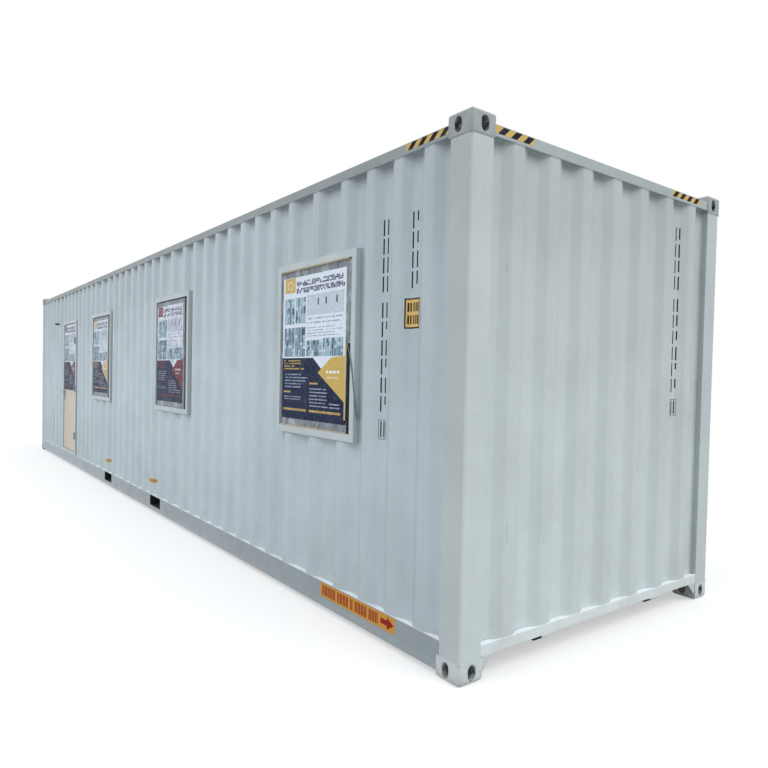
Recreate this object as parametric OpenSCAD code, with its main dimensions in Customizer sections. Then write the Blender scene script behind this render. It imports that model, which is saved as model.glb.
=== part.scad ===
// Forty-foot high-cube shipping container converted to a cabin.
// The gooseneck end is at +X, the side with the door is at -Y, the castings stand on z = 0.

/* [Body] */
// Length over the corner castings
length = 12192; // [5898:12192]
// Width over the corner castings
width = 2438; // [2200:2600]
// Height over the corner castings
height = 2896; // [2400:3000]
// How far posts and rails sit inside the castings
set_in = 4; // [2:8]
// Number of segments on round edges and holes
$fn = 32; // [16:64]

/* [Castings] */
// Casting length along the container
cast_l = 178; // [160:190]
// Casting width across the container
cast_w = 162; // [150:170]
// Casting height
cast_h = 118; // [110:125]
// Wall of a casting around its holes
cast_wall = 28; // [20:32]
// Half width of the twist-lock slot
slot_r = 31.75; // [28:34]
// Length of the twist-lock slot
slot_l = 124; // [110:130]
// Slot centre from the end face
slot_in_x = 103.5; // [95:110]
// Slot centre from the side face
slot_in_y = 89.5; // [80:95]

/* [Frame] */
// Corner post width on the side face
post_l = 159; // [120:175]
// Corner post width on the end face
post_w = 152; // [120:160]
// Steel thickness of posts
post_t = 6; // [4:8]
// Top rail section
top_rail = 60; // [50:80]
// Underside of the top rails
top_rail_z = 2790; // [2600:2830]
// Underside of the bottom side rails
side_rail_z = 36; // [20:60]
// Top of the bottom side rails
sill_z = 198; // [150:220]
// Flange width of the bottom side rails
side_rail_w = 60; // [45:70]
// Steel thickness of the rails
rail_t = 4.5; // [3:6]
// Underside of the bottom end rails
end_rail_z = 127; // [100:140]
// Top of the bottom end rails
end_rail_top = 187; // [170:198]
// Side of the gusset beside each bottom casting
gusset = 88; // [60:110]

/* [Walls] */
// Wall sheet thickness
sheet_t = 2; // [1.6:3]
// Depth of the wall corrugation
wave_d = 36; // [30:46]
// Outer flat of the corrugation
wave_flat = 72; // [60:110]
// Run of a slope of the side corrugation
wave_run = 68; // [18:80]
// Pitch of the side corrugation
wave_pitch = 278; // [250:290]
// Pitch of the recess beside a panel seam
seam_pitch = 360; // [278:380]
// Pitch of the second recess from a seam
near_pitch = 296; // [278:320]
// Plain pitches between two seams
plain_n = 6; // [4:8]
// How far the panel seams sit towards the gooseneck end
bay_shift = 75; // [0:100]
// Pitch of the end wall corrugation
end_pitch = 290; // [250:300]
// Run of a slope of the end corrugation
end_run = 70; // [18:80]
// Thickness of the wall lining
lining_t = 50; // [30:80]
// Thickness of the ceiling lining
ceiling_t = 40; // [20:60]
// Depth of the roof corrugation
roof_d = 20; // [12:25]
// Pitch of the roof corrugation
roof_pitch = 209; // [180:240]
// Floor board thickness
deck_t = 28; // [20:35]

/* [Underframe] */
// Cross member height
cross_h = 120; // [100:140]
// Cross member flange width
cross_w = 45; // [40:60]
// Cross member spacing
cross_step = 406; // [300:450]
// Fork pocket opening width
pocket_w = 360; // [300:380]
// Fork pocket opening height
pocket_h = 112; // [100:115]
// Underside of the fork pocket opening
pocket_z = 77; // [60:80]
// Distance between the fork pocket centres
pocket_gap = 2050; // [900:2100]
// Gooseneck tunnel length
tunnel_l = 3150; // [2900:3500]
// Gooseneck tunnel clear width
tunnel_w = 1030; // [1000:1060]
// Gooseneck tunnel clear height
tunnel_h = 123; // [115:127]
// Width of a tunnel side beam
beam_w = 75; // [60:100]

/* [Windows] */
// Outer width of a window surround
win_w = 1055; // [800:1200]
// Outer height of a window surround
win_h = 1201; // [900:1300]
// Underside of the window surrounds
win_z = 1145; // [900:1300]
// Window centre from the panel seam
win_shift = 0; // [-80:80]
// Face width of a surround
band = 48; // [35:60]
// How far a surround stands out from the castings
proud = 0; // [0:50]
// Plate thickness of a surround
plate = 3; // [2:5]
// How far a sash sits behind the surround face
sash_in = 12; // [8:40]
// Face width of a sash
sash_w = 45; // [35:70]
// Depth of a sash
sash_d = 50; // [40:70]
// Glass thickness
glass_t = 6; // [4:24]
// Width of a printed sheet on the glass
sheet_w = 862; // [600:870]
// Height of a printed sheet on the glass
sheet_h = 999; // [800:1000]
// Thickness of a printed sheet
paper_t = 1.5; // [1:3]

/* [Door] */
// Outer width of the door frame
door_w = 1014; // [900:1200]
// Centre of the door along the container
door_x = -3531; // [-4000:-3000]
// Height of the threshold face
sill_h = 40; // [25:50]
// Side gap of the leaf in its frame
side_gap = 6; // [5:10]
// Top and bottom gap of the leaf
end_gap = 8; // [6:12]
// Leaf thickness
leaf_t = 44; // [38:60]
// Hinge barrel radius
barrel_r = 8; // [6:12]
// Clearance between the barrel and the door frame
barrel_gap = 5.5; // [5:8]
// Length of one hinge knuckle
knuckle = 50; // [35:70]
// Axial gap between two knuckles
knuckle_gap = 5; // [5:8]
// Height of the lowest hinge
hinge_low = 503; // [400:600]
// Height of the top hinge
hinge_high = 2016; // [1800:2150]
// Height of the handle
handle_z = 1175; // [950:1250]
// How far the handle stands out from the surround face
handle_out = 33; // [30:40]

/* [Fittings] */
// Cable inlet distance from the middle
inlet_x = -4575; // [-5200:-4200]
// Cable inlet height
inlet_z = 2342; // [2200:2500]
// Cable inlet length from the recess
inlet_l = 75; // [40:90]
// Cable inlet radius
inlet_r = 15; // [12:35]

/* [Hidden] */
half_l = length / 2;
half_w = width / 2;
post_x = half_l - set_in - post_l;
post_y = half_w - set_in - post_w;
rail_x = half_l - cast_l;
rail_y = half_w - cast_w;
wall_y = half_w - set_in - 4;
wall_x = half_l - set_in - 5;
line_y = wall_y - wave_d - sheet_t - 3;
face_y = half_w + proud;
back_y = line_y - lining_t - 2;
deck_top = sill_z + deck_t;
ceil_z = height - cast_h - 3;
seam_step = 2 * (seam_pitch + near_pitch) + plain_n * wave_pitch;
seam_x = [for (k = [-1:1]) bay_shift + (k + 0.5) * seam_step];
win_x = [for (s = seam_x) s + win_shift];
head_z = win_z + win_h;
window_cuts = [for (x = win_x) [x - win_w / 2, x + win_w / 2, win_z]];
door_lo = door_x - door_w / 2;
door_hi = door_x + door_w / 2;
open_lo = door_lo + band;
open_hi = door_hi - band;
leaf_z = sill_z + sill_h + end_gap;
leaf_top = head_z - band - end_gap;
leaf_y = face_y - sash_in;
axis_x = open_hi + 2;
axis_y = face_y + barrel_r + barrel_gap;
hinge_mid = (hinge_low + hinge_high) / 2;
hinge_zs = [hinge_low, hinge_mid, hinge_high];
tunnel_x = half_l - tunnel_l;
pocket_x = [bay_shift - pocket_gap / 2, bay_shift + pocket_gap / 2];
// The origin is under the middle of the whole, handle included
shift_y = handle_out / 2;

grey = [0.69, 0.74, 0.76];
steel = [0.55, 0.57, 0.58];
dark = [0.12, 0.12, 0.13];
board = [0.86, 0.85, 0.81];
timber = [0.62, 0.48, 0.33];
paper = [0.83, 0.86, 0.88];
cream = [0.80, 0.75, 0.68];

// ---- shared shapes ----

module block(a, b) {
    translate(a)
        cube(b - a);
}

// Box between two corners given on the door side, where y counts outwards from the middle
module on_side(s, x0, x1, y0, y1, z0, z1) {
    translate([x0, min(s * y0, s * y1), z0])
        cube([x1 - x0, abs(y1 - y0), z1 - z0]);
}

module mirrored_y() {
    children();
    mirror([0, 1, 0])
        children();
}

// Upright obround hole through a casting face, centred on the origin and running along Z
module obround(r, l, deep) {
    translate([l / 2 - r, 0, 0])
        cylinder(r = r, h = deep, center = true);
    translate([r - l / 2, 0, 0])
        cylinder(r = r, h = deep, center = true);
    cube([l - 2 * r, 2 * r, deep], center = true);
}

// Casting at the +X, +Y bottom corner, twist-lock slot down
module casting() {
    round_r = 14;
    difference() {
        union() {
            block([rail_x, rail_y, 0], [half_l - round_r, half_w, cast_h]);
            block([rail_x, rail_y, 0], [half_l, half_w - round_r, cast_h]);
            translate([half_l - round_r, half_w - round_r, 0])
                cylinder(r = round_r, h = cast_h);
        }
        block([rail_x + 14, rail_y + 14, cast_wall],
            [half_l - cast_wall, half_w - cast_wall, cast_h - 14]);
        translate([half_l - slot_in_x, half_w - slot_in_y, 0])
            obround(slot_r, slot_l, 3 * cast_wall);
        translate([half_l - slot_in_x, half_w, cast_h / 2 + 4])
            rotate([0, 90, 90])
                obround(25.5, 79.5, 3 * cast_wall);
        translate([half_l, half_w - slot_in_y, cast_h / 2 + 4])
            rotate([0, 90, 0])
                obround(25.5, 79.5, 3 * cast_wall);
    }
}

module casting_pair(turn, top) {
    translate([0, shift_y, 0])
        mirror([turn, 0, 0])
            mirrored_y()
                translate([0, 0, top * height])
                    mirror([0, 0, top])
                        casting();
}

module top_castings_front() {
    color(grey)
        casting_pair(0, 1);
}

module top_castings_rear() {
    color(grey)
        casting_pair(1, 1);
}

module bottom_castings_front() {
    color(grey)
        casting_pair(0, 0);
}

module bottom_castings_rear() {
    color(grey)
        casting_pair(1, 0);
}

// Hollow corner post at the +X, +Y corner, rounded on its outer edge
module post() {
    r = 20;
    difference() {
        union() {
            block([post_x, post_y, cast_h], [half_l - set_in - r, half_w - set_in, height - cast_h]);
            block([post_x, post_y, cast_h], [half_l - set_in, half_w - set_in - r, height - cast_h]);
            translate([half_l - set_in - r, half_w - set_in - r, cast_h])
                cylinder(r = r, h = height - 2 * cast_h);
        }
        block([post_x + post_t, post_y + post_t, cast_h - 1],
            [half_l - set_in - r, half_w - set_in - r, height - cast_h + 1]);
    }
}

module corner_post(turn, side) {
    color(grey)
        translate([0, shift_y, 0])
            mirror([turn, 0, 0])
                mirror([0, side, 0])
                    post();
}

module corner_post_front_door_side() {
    corner_post(0, 1);
}

module corner_post_front_far_side() {
    corner_post(0, 0);
}

module corner_post_rear_door_side() {
    corner_post(1, 1);
}

module corner_post_rear_far_side() {
    corner_post(1, 0);
}

// Square tube along Y or X between two corners
module tube(a, b, t, along_x) {
    difference() {
        block(a, b);
        if (along_x)
            block(a + [-1, t, t], b - [-1, t, t]);
        else
            block(a + [t, -1, t], b - [t, -1, t]);
    }
}

module top_side_rail(s) {
    color(grey)
        translate([0, shift_y, 0])
            mirror([0, s, 0])
                tube([-rail_x, half_w - set_in - top_rail, top_rail_z],
                    [rail_x, half_w - set_in, top_rail_z + top_rail], 3, true);
}

module top_end_rail(turn) {
    color(grey)
        translate([0, shift_y, 0])
            mirror([turn, 0, 0])
                tube([half_l - set_in - 1 - top_rail, -rail_y, top_rail_z],
                    [half_l - set_in - 1, rail_y, top_rail_z + top_rail], 3, false);
}

module top_side_rail_door_side() {
    top_side_rail(1);
}

module top_side_rail_far_side() {
    top_side_rail(0);
}

module top_end_rail_front() {
    top_end_rail(0);
}

module top_end_rail_rear() {
    top_end_rail(1);
}

// Channel with its web outside, pierced by the two fork pockets
module bottom_side_rail(s) {
    color(grey)
        translate([0, shift_y, 0])
            mirror([0, s, 0])
                difference() {
                    block([-post_x, half_w - set_in - side_rail_w, side_rail_z],
                        [post_x, half_w - set_in, sill_z]);
                    block([-post_x - 1, 0, side_rail_z + rail_t],
                        [post_x + 1, half_w - set_in - rail_t, sill_z - rail_t]);
                    for (m = [0, 1])
                        mirror([m, 0, 0])
                            block([rail_x, rail_y, 0], [half_l, half_w, cast_h]);
                    for (x = pocket_x)
                        block([x - pocket_w / 2, 0, pocket_z],
                            [x + pocket_w / 2, half_w + 1, pocket_z + pocket_h]);
                }
}

module bottom_side_rail_door_side() {
    bottom_side_rail(1);
}

module bottom_side_rail_far_side() {
    bottom_side_rail(0);
}

// Lower end rail with a gusset plate beside each casting
module bottom_end_rail(turn) {
    front = half_l - set_in - 1;
    color(grey)
        translate([0, shift_y, 0])
            mirror([turn, 0, 0]) {
                tube([front - top_rail, -post_y, end_rail_z], [front, post_y, end_rail_top], 3, false);
                mirrored_y()
                    translate([front, rail_y, end_rail_z])
                        rotate([90, 0, -90])
                            linear_extrude(8)
                                polygon([[0, 0], [0, -gusset], [gusset, 0]]);
            }
}

module bottom_end_rail_front() {
    bottom_end_rail(0);
}

module bottom_end_rail_rear() {
    bottom_end_rail(1);
}

// ---- corrugated sheets ----

function pitch_at(j) =
    j == 0 || j == plain_n + 3 ? seam_pitch : j == 1 || j == plain_n + 2 ? near_pitch : wave_pitch;
function run_to(j) = j <= 0 ? 0 : run_to(j - 1) + pitch_at(j - 1);

// Outline of one recess that starts at x and is p long with its outer flat
function recess(x, p, run, flat, d) =
    [[x, 0], [x + run, d], [x + p - flat - run, d], [x + p - flat, 0]];

function side_wave(x0, x1) = [
    for (b = [-2:2])
        for (j = [0:plain_n + 3])
            let (x = bay_shift + (b - 0.5) * seam_step + wave_flat / 2 + run_to(j))
                if (x < x1 && x + pitch_at(j) > x0)
                    each recess(x, pitch_at(j), wave_run, wave_flat, wave_d)];

function end_wave() = [
    for (k = [-4:3])
        each recess(k * end_pitch + wave_flat / 2, end_pitch, end_run, wave_flat, wave_d)];

function roof_wave() = [
    for (k = [-28:27])
        each recess(k * roof_pitch + 45, roof_pitch, 14, 91, roof_d)];

// Sheet outline: a wave and the same wave one thickness deeper
module sheet_outline(wave, t) {
    n = len(wave);
    polygon(concat(wave, [for (i = [n - 1:-1:0]) wave[i] + [0, t]]));
}

// Side sheet between x0 and x1 with y measured inwards from the outer plane
module side_sheet(x0, x1, z0, z1) {
    translate([0, -wall_y, 0])
        intersection() {
            translate([0, 0, z0])
                linear_extrude(z1 - z0)
                    sheet_outline(side_wave(x0, x1), sheet_t);
            block([x0, -1, z0 - 1], [x1, wave_d + sheet_t + 1, z1 + 1]);
        }
}

// Corners of the sheet that the top castings take up
module casting_corners() {
    for (m = [0, 1])
        mirror([m, 0, 0])
            mirrored_y()
                block([rail_x, rail_y, height - cast_h], [half_l, half_w, height]);
}

module window_holes() {
    for (x = win_x)
        block([x - win_w / 2, -half_w, win_z], [x + win_w / 2, -half_w + 200, head_z]);
}

module wall_sheet_windows() {
    color(grey)
        translate([0, shift_y, 0])
            difference() {
                side_sheet(door_hi, post_x, sill_z, top_rail_z);
                window_holes();
                casting_corners();
            }
}

module wall_sheet_rear() {
    color(grey)
        translate([0, shift_y, 0])
            difference() {
                side_sheet(-post_x, door_lo, sill_z, top_rail_z);
                casting_corners();
            }
}

module wall_sheet_over_door() {
    color(grey)
        translate([0, shift_y, 0])
            side_sheet(door_lo, door_hi, head_z, top_rail_z);
}

module wall_sheet_far_side() {
    color(grey)
        translate([0, shift_y, 0])
            mirror([0, 1, 0])
                difference() {
                    side_sheet(-post_x, post_x, sill_z, top_rail_z);
                    window_holes();
                    casting_corners();
                }
}

module end_sheet(turn) {
    color(grey)
        translate([0, shift_y, 0])
            mirror([turn, 0, 0])
                difference() {
                    intersection() {
                        translate([wall_x, 0, end_rail_top])
                            rotate([0, 0, 90])
                                linear_extrude(top_rail_z - end_rail_top)
                                    sheet_outline(end_wave(), sheet_t);
                        block([wall_x - 60, -post_y, 0], [wall_x + 1, post_y, height]);
                    }
                    casting_corners();
                }
}

module end_sheet_front() {
    end_sheet(0);
}

module end_sheet_rear() {
    end_sheet(1);
}

// Corrugated roof with a flat header plate at each end
module roof_sheet() {
    top_z = top_rail_z + top_rail;
    edge_y = half_w - set_in - top_rail;
    color(grey)
        translate([0, shift_y, 0]) {
            translate([0, edge_y, top_z])
                rotate([90, 0, 0])
                    linear_extrude(2 * edge_y)
                        mirror([0, 1, 0])
                            sheet_outline(concat([[-rail_x, 0]], roof_wave(), [[rail_x, 0]]), sheet_t);
            for (m = [0, 1])
                mirror([m, 0, 0])
                    block([rail_x - 1, -rail_y, top_z - sheet_t],
                        [half_l - set_in - 1 - top_rail, rail_y, top_z]);
        }
}

// ---- floor and underframe ----

module floor_deck() {
    color(timber)
        translate([0, shift_y, 0])
            difference() {
                block([-rail_x, -line_y, sill_z], [rail_x, line_y, deck_top]);
                block([door_lo, -half_w, sill_z - 1], [door_hi, -back_y, deck_top + 1]);
            }
}

// Channel across the container between two y values, open towards -X
module cross_member(x, y0, y1) {
    z0 = sill_z - cross_h;
    difference() {
        block([x, y0, z0], [x + cross_w, y1, sill_z]);
        block([x - 1, y0 - 1, z0 + 4], [x + cross_w - 4, y1 + 1, sill_z - 4]);
    }
}

function near_pocket(x) =
    min([for (p = pocket_x) abs(x + cross_w / 2 - p)]) < pocket_w / 2 + cross_w;

module cross_members() {
    web_y = half_w - set_in - rail_t;
    color(steel)
        translate([0, shift_y, 0])
            difference() {
                for (x = [-rail_x + 40:cross_step:rail_x - 60])
                    if (x + cross_w < tunnel_x - 10) {
                        if (!near_pocket(x))
                            cross_member(x, -web_y, web_y);
                    } else if (x > tunnel_x + 10)
                        mirrored_y()
                            cross_member(x, tunnel_w / 2 + beam_w, web_y);
                mirrored_y()
                    block([-rail_x, half_w - set_in - side_rail_w - 1, sill_z - rail_t],
                        [rail_x, half_w, sill_z + 1]);
            }
}

// Raised plate and two side beams that straddle a trailer's neck
module gooseneck_tunnel() {
    end_x = half_l - set_in - 1 - top_rail;
    color(steel)
        translate([0, shift_y, 0]) {
            block([tunnel_x, -tunnel_w / 2 - 1, tunnel_h], [end_x, tunnel_w / 2 + 1, tunnel_h + 4]);
            mirrored_y()
                difference() {
                    block([tunnel_x, tunnel_w / 2, sill_z - cross_h],
                        [end_x, tunnel_w / 2 + beam_w, sill_z - 1]);
                    block([tunnel_x - 1, tunnel_w / 2 + 4, sill_z - cross_h + 4],
                        [end_x + 1, tunnel_w / 2 + beam_w + 1, sill_z - 5]);
                }
            block([tunnel_x - 6, -tunnel_w / 2 - beam_w, sill_z - cross_h],
                [tunnel_x, tunnel_w / 2 + beam_w, sill_z - 1]);
        }
}

module fork_pockets() {
    web_y = half_w - set_in - rail_t;
    t = 4;
    color(steel)
        translate([0, shift_y, 0])
            for (x = pocket_x)
                tube([x - pocket_w / 2 - t, -web_y, pocket_z - t],
                    [x + pocket_w / 2 + t, web_y, pocket_z + pocket_h + t], t, false);
}

// ---- lining ----

// Boards of one long wall: piers the full height, and a sill and a head board at each window
module lining_boards(cuts) {
    gap = 2;
    low = deck_top;
    edges = concat([-post_x + 4], [for (c = cuts) each [c[0], c[1]]], [post_x - 4]);
    for (i = [0:2:len(edges) - 2])
        on_side(-1, edges[i] + gap, edges[i + 1] - gap, line_y - lining_t, line_y, low, ceil_z);
    for (c = cuts) {
        if (c[2] > low + 20)
            on_side(-1, c[0] + gap, c[1] - gap, line_y - lining_t, line_y, low, c[2] - gap);
        on_side(-1, c[0] + gap, c[1] - gap, line_y - lining_t, line_y, head_z + gap, ceil_z);
    }
}

module lining_door_side() {
    color(board)
        translate([0, shift_y, 0])
            lining_boards(concat([[door_lo, door_hi, sill_z]], window_cuts));
}

module lining_far_side() {
    color(board)
        translate([0, shift_y, 0])
            mirror([0, 1, 0])
                lining_boards(window_cuts);
}

module lining_ends() {
    inner_y = line_y - lining_t - 2;
    color(board)
        translate([0, shift_y, 0])
            for (m = [0, 1])
                mirror([m, 0, 0])
                    block([post_x - 4 - lining_t, -inner_y, deck_top], [post_x - 4, inner_y, ceil_z]);
}

module ceiling_lining() {
    inner_x = post_x - 6 - lining_t;
    inner_y = line_y - lining_t - 2;
    color(board)
        translate([0, shift_y, 0])
            block([-inner_x, -inner_y, ceil_z - ceiling_t], [inner_x, inner_y, ceil_z]);
}

// ---- windows ----

// Ring in the wall plane, y counted outwards
module ring(x, w, z0, z1, y0, y1, side, top, bottom) {
    difference() {
        on_side(-1, x - w / 2, x + w / 2, y0, y1, z0, z1);
        on_side(-1, x - w / 2 + side, x + w / 2 - side, y0 - 1, y1 + 1, z0 + bottom, z1 - top);
    }
}

// Folded plate surround: face, outer return and reveal
module surround(x, w, z0, z1, bottom) {
    difference() {
        ring(x, w, z0, z1, back_y, face_y, band, band, bottom);
        ring(x, w - 2 * plate, z0 + plate, z1 - plate, back_y - 1, face_y - plate,
            band - 2 * plate, band - 2 * plate, bottom - 2 * plate);
    }
}

module surrounds() {
    for (x = win_x)
        surround(x, win_w, win_z, head_z, band);
}

module sashes() {
    for (x = win_x)
        ring(x, win_w - 2 * band - 4, win_z + band + 2, head_z - band - 2,
            face_y - sash_in - sash_d, face_y - sash_in, sash_w, sash_w, sash_w);
}

module panes() {
    inset = band + 2 + sash_w;
    for (x = win_x)
        on_side(-1, x - win_w / 2 + inset, x + win_w / 2 - inset,
            face_y - sash_in - glass_t - 4, face_y - sash_in - 4, win_z + inset, head_z - inset);
}

module window_surrounds() {
    color(grey)
        translate([0, shift_y, 0])
            surrounds();
}

module window_sashes() {
    color(steel)
        translate([0, shift_y, 0])
            sashes();
}

module window_glass() {
    color([0.6, 0.7, 0.72, 0.6])
        translate([0, shift_y, 0])
            panes();
}

// Printed sheet stuck over the front of each sash
module window_posters() {
    y0 = face_y - sash_in;
    z = (win_z + head_z) / 2;
    color(paper)
        translate([0, shift_y, 0])
            for (x = win_x)
                on_side(-1, x - sheet_w / 2 - 25, x + sheet_w / 2 - 25, y0, y0 + paper_t,
                    z - sheet_h / 2, z + sheet_h / 2);
}

module far_window_surrounds() {
    color(grey)
        translate([0, shift_y, 0])
            mirror([0, 1, 0])
                surrounds();
}

module far_window_sashes() {
    color(steel)
        translate([0, shift_y, 0])
            mirror([0, 1, 0])
                sashes();
}

module far_window_glass() {
    color([0.6, 0.7, 0.72, 0.6])
        translate([0, shift_y, 0])
            mirror([0, 1, 0])
                panes();
}

// ---- door ----

module door_frame() {
    color(grey)
        translate([0, shift_y, 0])
            surround(door_x, door_w, sill_z, head_z, sill_h);
}

module door_leaf() {
    color(cream)
        translate([0, shift_y, 0])
            on_side(-1, open_lo + side_gap, open_hi - side_gap, leaf_y - leaf_t, leaf_y,
                leaf_z, leaf_top);
}

module door_poster() {
    color(paper)
        translate([0, shift_y, 0])
            on_side(-1, open_lo + side_gap + 12, open_hi - side_gap - 30, leaf_y,
                leaf_y + paper_t, handle_z + 45, leaf_top - 10);
}

// Lever, rose plate and neck on one face of the leaf; out counts away from the leaf face
module lever(y, s, out) {
    x = open_lo + side_gap + 60;
    on_side(-1, x - 20, x + 20, y, y + s * 8, handle_z - 125, handle_z + 35);
    translate([x, -(y + s * (out - 8)), handle_z])
        rotate([90 * s, 0, 0])
            translate([0, 0, -out + 10])
                cylinder(r = 9, h = out - 10);
    on_side(-1, x - 9, x + 115, y + s * (out - 16), y + s * out, handle_z - 9, handle_z + 9);
}

module door_handle() {
    color(dark)
        translate([0, shift_y, 0]) {
            lever(leaf_y, 1, handle_out + sash_in);
            lever(leaf_y - leaf_t, -1, 45);
        }
}

// Upper knuckle with an arm and a strap on the leaf
module leaf_hinges() {
    strap = leaf_y + 5;
    color(dark)
        translate([0, shift_y, 0])
            for (z = hinge_zs) {
                z0 = z + knuckle_gap / 2;
                translate([axis_x, -axis_y, z0])
                    cylinder(r = barrel_r, h = knuckle);
                on_side(-1, axis_x - 14, axis_x, axis_y - 3, axis_y + 3, z0, z0 + knuckle);
                on_side(-1, axis_x - 14, axis_x - 9, leaf_y, axis_y + 3, z0, z0 + knuckle);
                on_side(-1, axis_x - 32, axis_x - 9, leaf_y, strap, z0, z0 + knuckle);
            }
}

// Lower knuckle with a plate on the door frame
module frame_hinges() {
    color(dark)
        translate([0, shift_y, 0])
            for (z = hinge_zs) {
                z0 = z - knuckle_gap / 2 - knuckle;
                translate([axis_x, -axis_y, z0])
                    cylinder(r = barrel_r, h = knuckle);
                on_side(-1, axis_x, axis_x + 38, face_y, face_y + barrel_gap + 2, z0, z0 + knuckle);
            }
}

// ---- fittings ----

// Round cable socket on a square plate in a recess of the wall
module cable_inlet() {
    color(dark)
        translate([inlet_x, shift_y - wall_y + wave_d, inlet_z]) {
            translate([-40, -6, -40])
                cube([80, 6, 80]);
            rotate([90, 0, 0])
                difference() {
                    cylinder(r = inlet_r, h = inlet_l);
                    translate([0, 0, 12])
                        cylinder(r = inlet_r - 5, h = inlet_l);
                }
        }
}

top_castings_front();
top_castings_rear();
bottom_castings_front();
bottom_castings_rear();
corner_post_front_door_side();
corner_post_front_far_side();
corner_post_rear_door_side();
corner_post_rear_far_side();
top_side_rail_door_side();
top_side_rail_far_side();
top_end_rail_front();
top_end_rail_rear();
bottom_side_rail_door_side();
bottom_side_rail_far_side();
bottom_end_rail_front();
bottom_end_rail_rear();
wall_sheet_windows();
wall_sheet_rear();
wall_sheet_over_door();
wall_sheet_far_side();
end_sheet_front();
end_sheet_rear();
roof_sheet();
floor_deck();
cross_members();
gooseneck_tunnel();
fork_pockets();
lining_door_side();
lining_far_side();
lining_ends();
ceiling_lining();
window_surrounds();
window_sashes();
window_glass();
window_posters();
far_window_surrounds();
far_window_sashes();
far_window_glass();
door_frame();
door_leaf();
door_poster();
door_handle();
leaf_hinges();
frame_hinges();
cable_inlet();
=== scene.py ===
"""Looks of the container cabin: painted corrugated steel, castings, windows, door, labels and fittings."""

import math
from functools import partialmethod

import bmesh
import bpy
from mathutils import Matrix, Vector


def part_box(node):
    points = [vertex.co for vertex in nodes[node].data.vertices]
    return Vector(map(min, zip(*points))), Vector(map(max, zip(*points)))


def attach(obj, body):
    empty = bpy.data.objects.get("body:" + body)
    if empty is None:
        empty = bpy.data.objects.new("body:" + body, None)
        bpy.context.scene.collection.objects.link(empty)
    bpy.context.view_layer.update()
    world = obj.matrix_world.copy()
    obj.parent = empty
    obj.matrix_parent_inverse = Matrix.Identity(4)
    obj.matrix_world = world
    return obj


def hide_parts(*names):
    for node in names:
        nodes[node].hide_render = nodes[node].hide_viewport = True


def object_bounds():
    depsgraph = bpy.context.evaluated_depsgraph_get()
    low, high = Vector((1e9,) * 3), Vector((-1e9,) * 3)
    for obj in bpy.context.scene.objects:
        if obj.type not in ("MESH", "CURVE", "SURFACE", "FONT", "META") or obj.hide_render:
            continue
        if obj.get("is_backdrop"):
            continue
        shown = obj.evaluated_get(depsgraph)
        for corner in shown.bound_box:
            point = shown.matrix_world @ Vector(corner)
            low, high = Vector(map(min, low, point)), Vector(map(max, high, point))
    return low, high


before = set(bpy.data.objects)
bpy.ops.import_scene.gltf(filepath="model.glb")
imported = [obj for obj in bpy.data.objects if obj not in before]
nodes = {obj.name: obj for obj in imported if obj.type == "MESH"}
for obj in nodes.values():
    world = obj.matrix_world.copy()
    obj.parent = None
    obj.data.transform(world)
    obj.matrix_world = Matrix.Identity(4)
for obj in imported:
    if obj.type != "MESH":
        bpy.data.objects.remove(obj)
cad_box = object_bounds()
scene = bpy.context.scene

MM = 0.001

# ---- sizes that the pieces share, in metres ----

casting_lo, casting_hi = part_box("bottom_castings_front")
top_lo, top_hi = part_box("top_castings_front")
post_lo, post_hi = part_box("corner_post_front_door_side")
side_lo, side_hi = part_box("wall_sheet_windows")
far_lo, far_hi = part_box("wall_sheet_far_side")
end_lo, end_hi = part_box("end_sheet_front")
roof_lo, roof_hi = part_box("roof_sheet")
top_rail_lo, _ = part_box("top_side_rail_door_side")
_, end_rail_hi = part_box("bottom_end_rail_front")
_, top_end_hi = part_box("top_end_rail_front")
sill_lo, sill_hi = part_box("bottom_side_rail_door_side")
surround_lo, surround_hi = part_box("window_surrounds")
sash_lo, sash_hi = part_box("window_sashes")
poster_lo, poster_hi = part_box("window_posters")
door_lo, door_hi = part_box("door_frame")

MIDDLE = (casting_lo.y + casting_hi.y) / 2
HALF_LENGTH = casting_hi.x
HALF_WIDTH = (casting_hi.y - casting_lo.y) / 2
HEIGHT = top_hi.z
side_plane = MIDDLE - side_lo.y

# Corrugation of the side panels: a wide recess beside each panel seam, plain ones between
WAVE_DEPTH = 36 * MM
WAVE_FLAT = 72 * MM
WAVE_RUN = 68 * MM
WAVE_PITCH = 278 * MM
NEAR_PITCH = 296 * MM
SEAM_PITCH = 360 * MM
PANEL = 2 * (SEAM_PITCH + NEAR_PITCH) + 6 * WAVE_PITCH
SEAM = 1.565
WAVE_BEND = 0.16
END_PITCH = 290 * MM
END_RUN = 70 * MM
ROOF_PITCH = 209 * MM
ROOF_DEPTH = 20 * MM
WINDOW_WIDTH = 1.055
SHEET_THICKNESS = 2 * MM

# Corner castings: their width, and the middles of their holes from the end, the side and the ground
CASTING_WIDTH = 162 * MM
EYE_FROM_END = 103.5 * MM
EYE_FROM_SIDE = 89.5 * MM
EYE_HEIGHT = 63 * MM
window_xs = [SEAM + k * PANEL for k in (-1, 0, 1)]


# ---- camera ----

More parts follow.
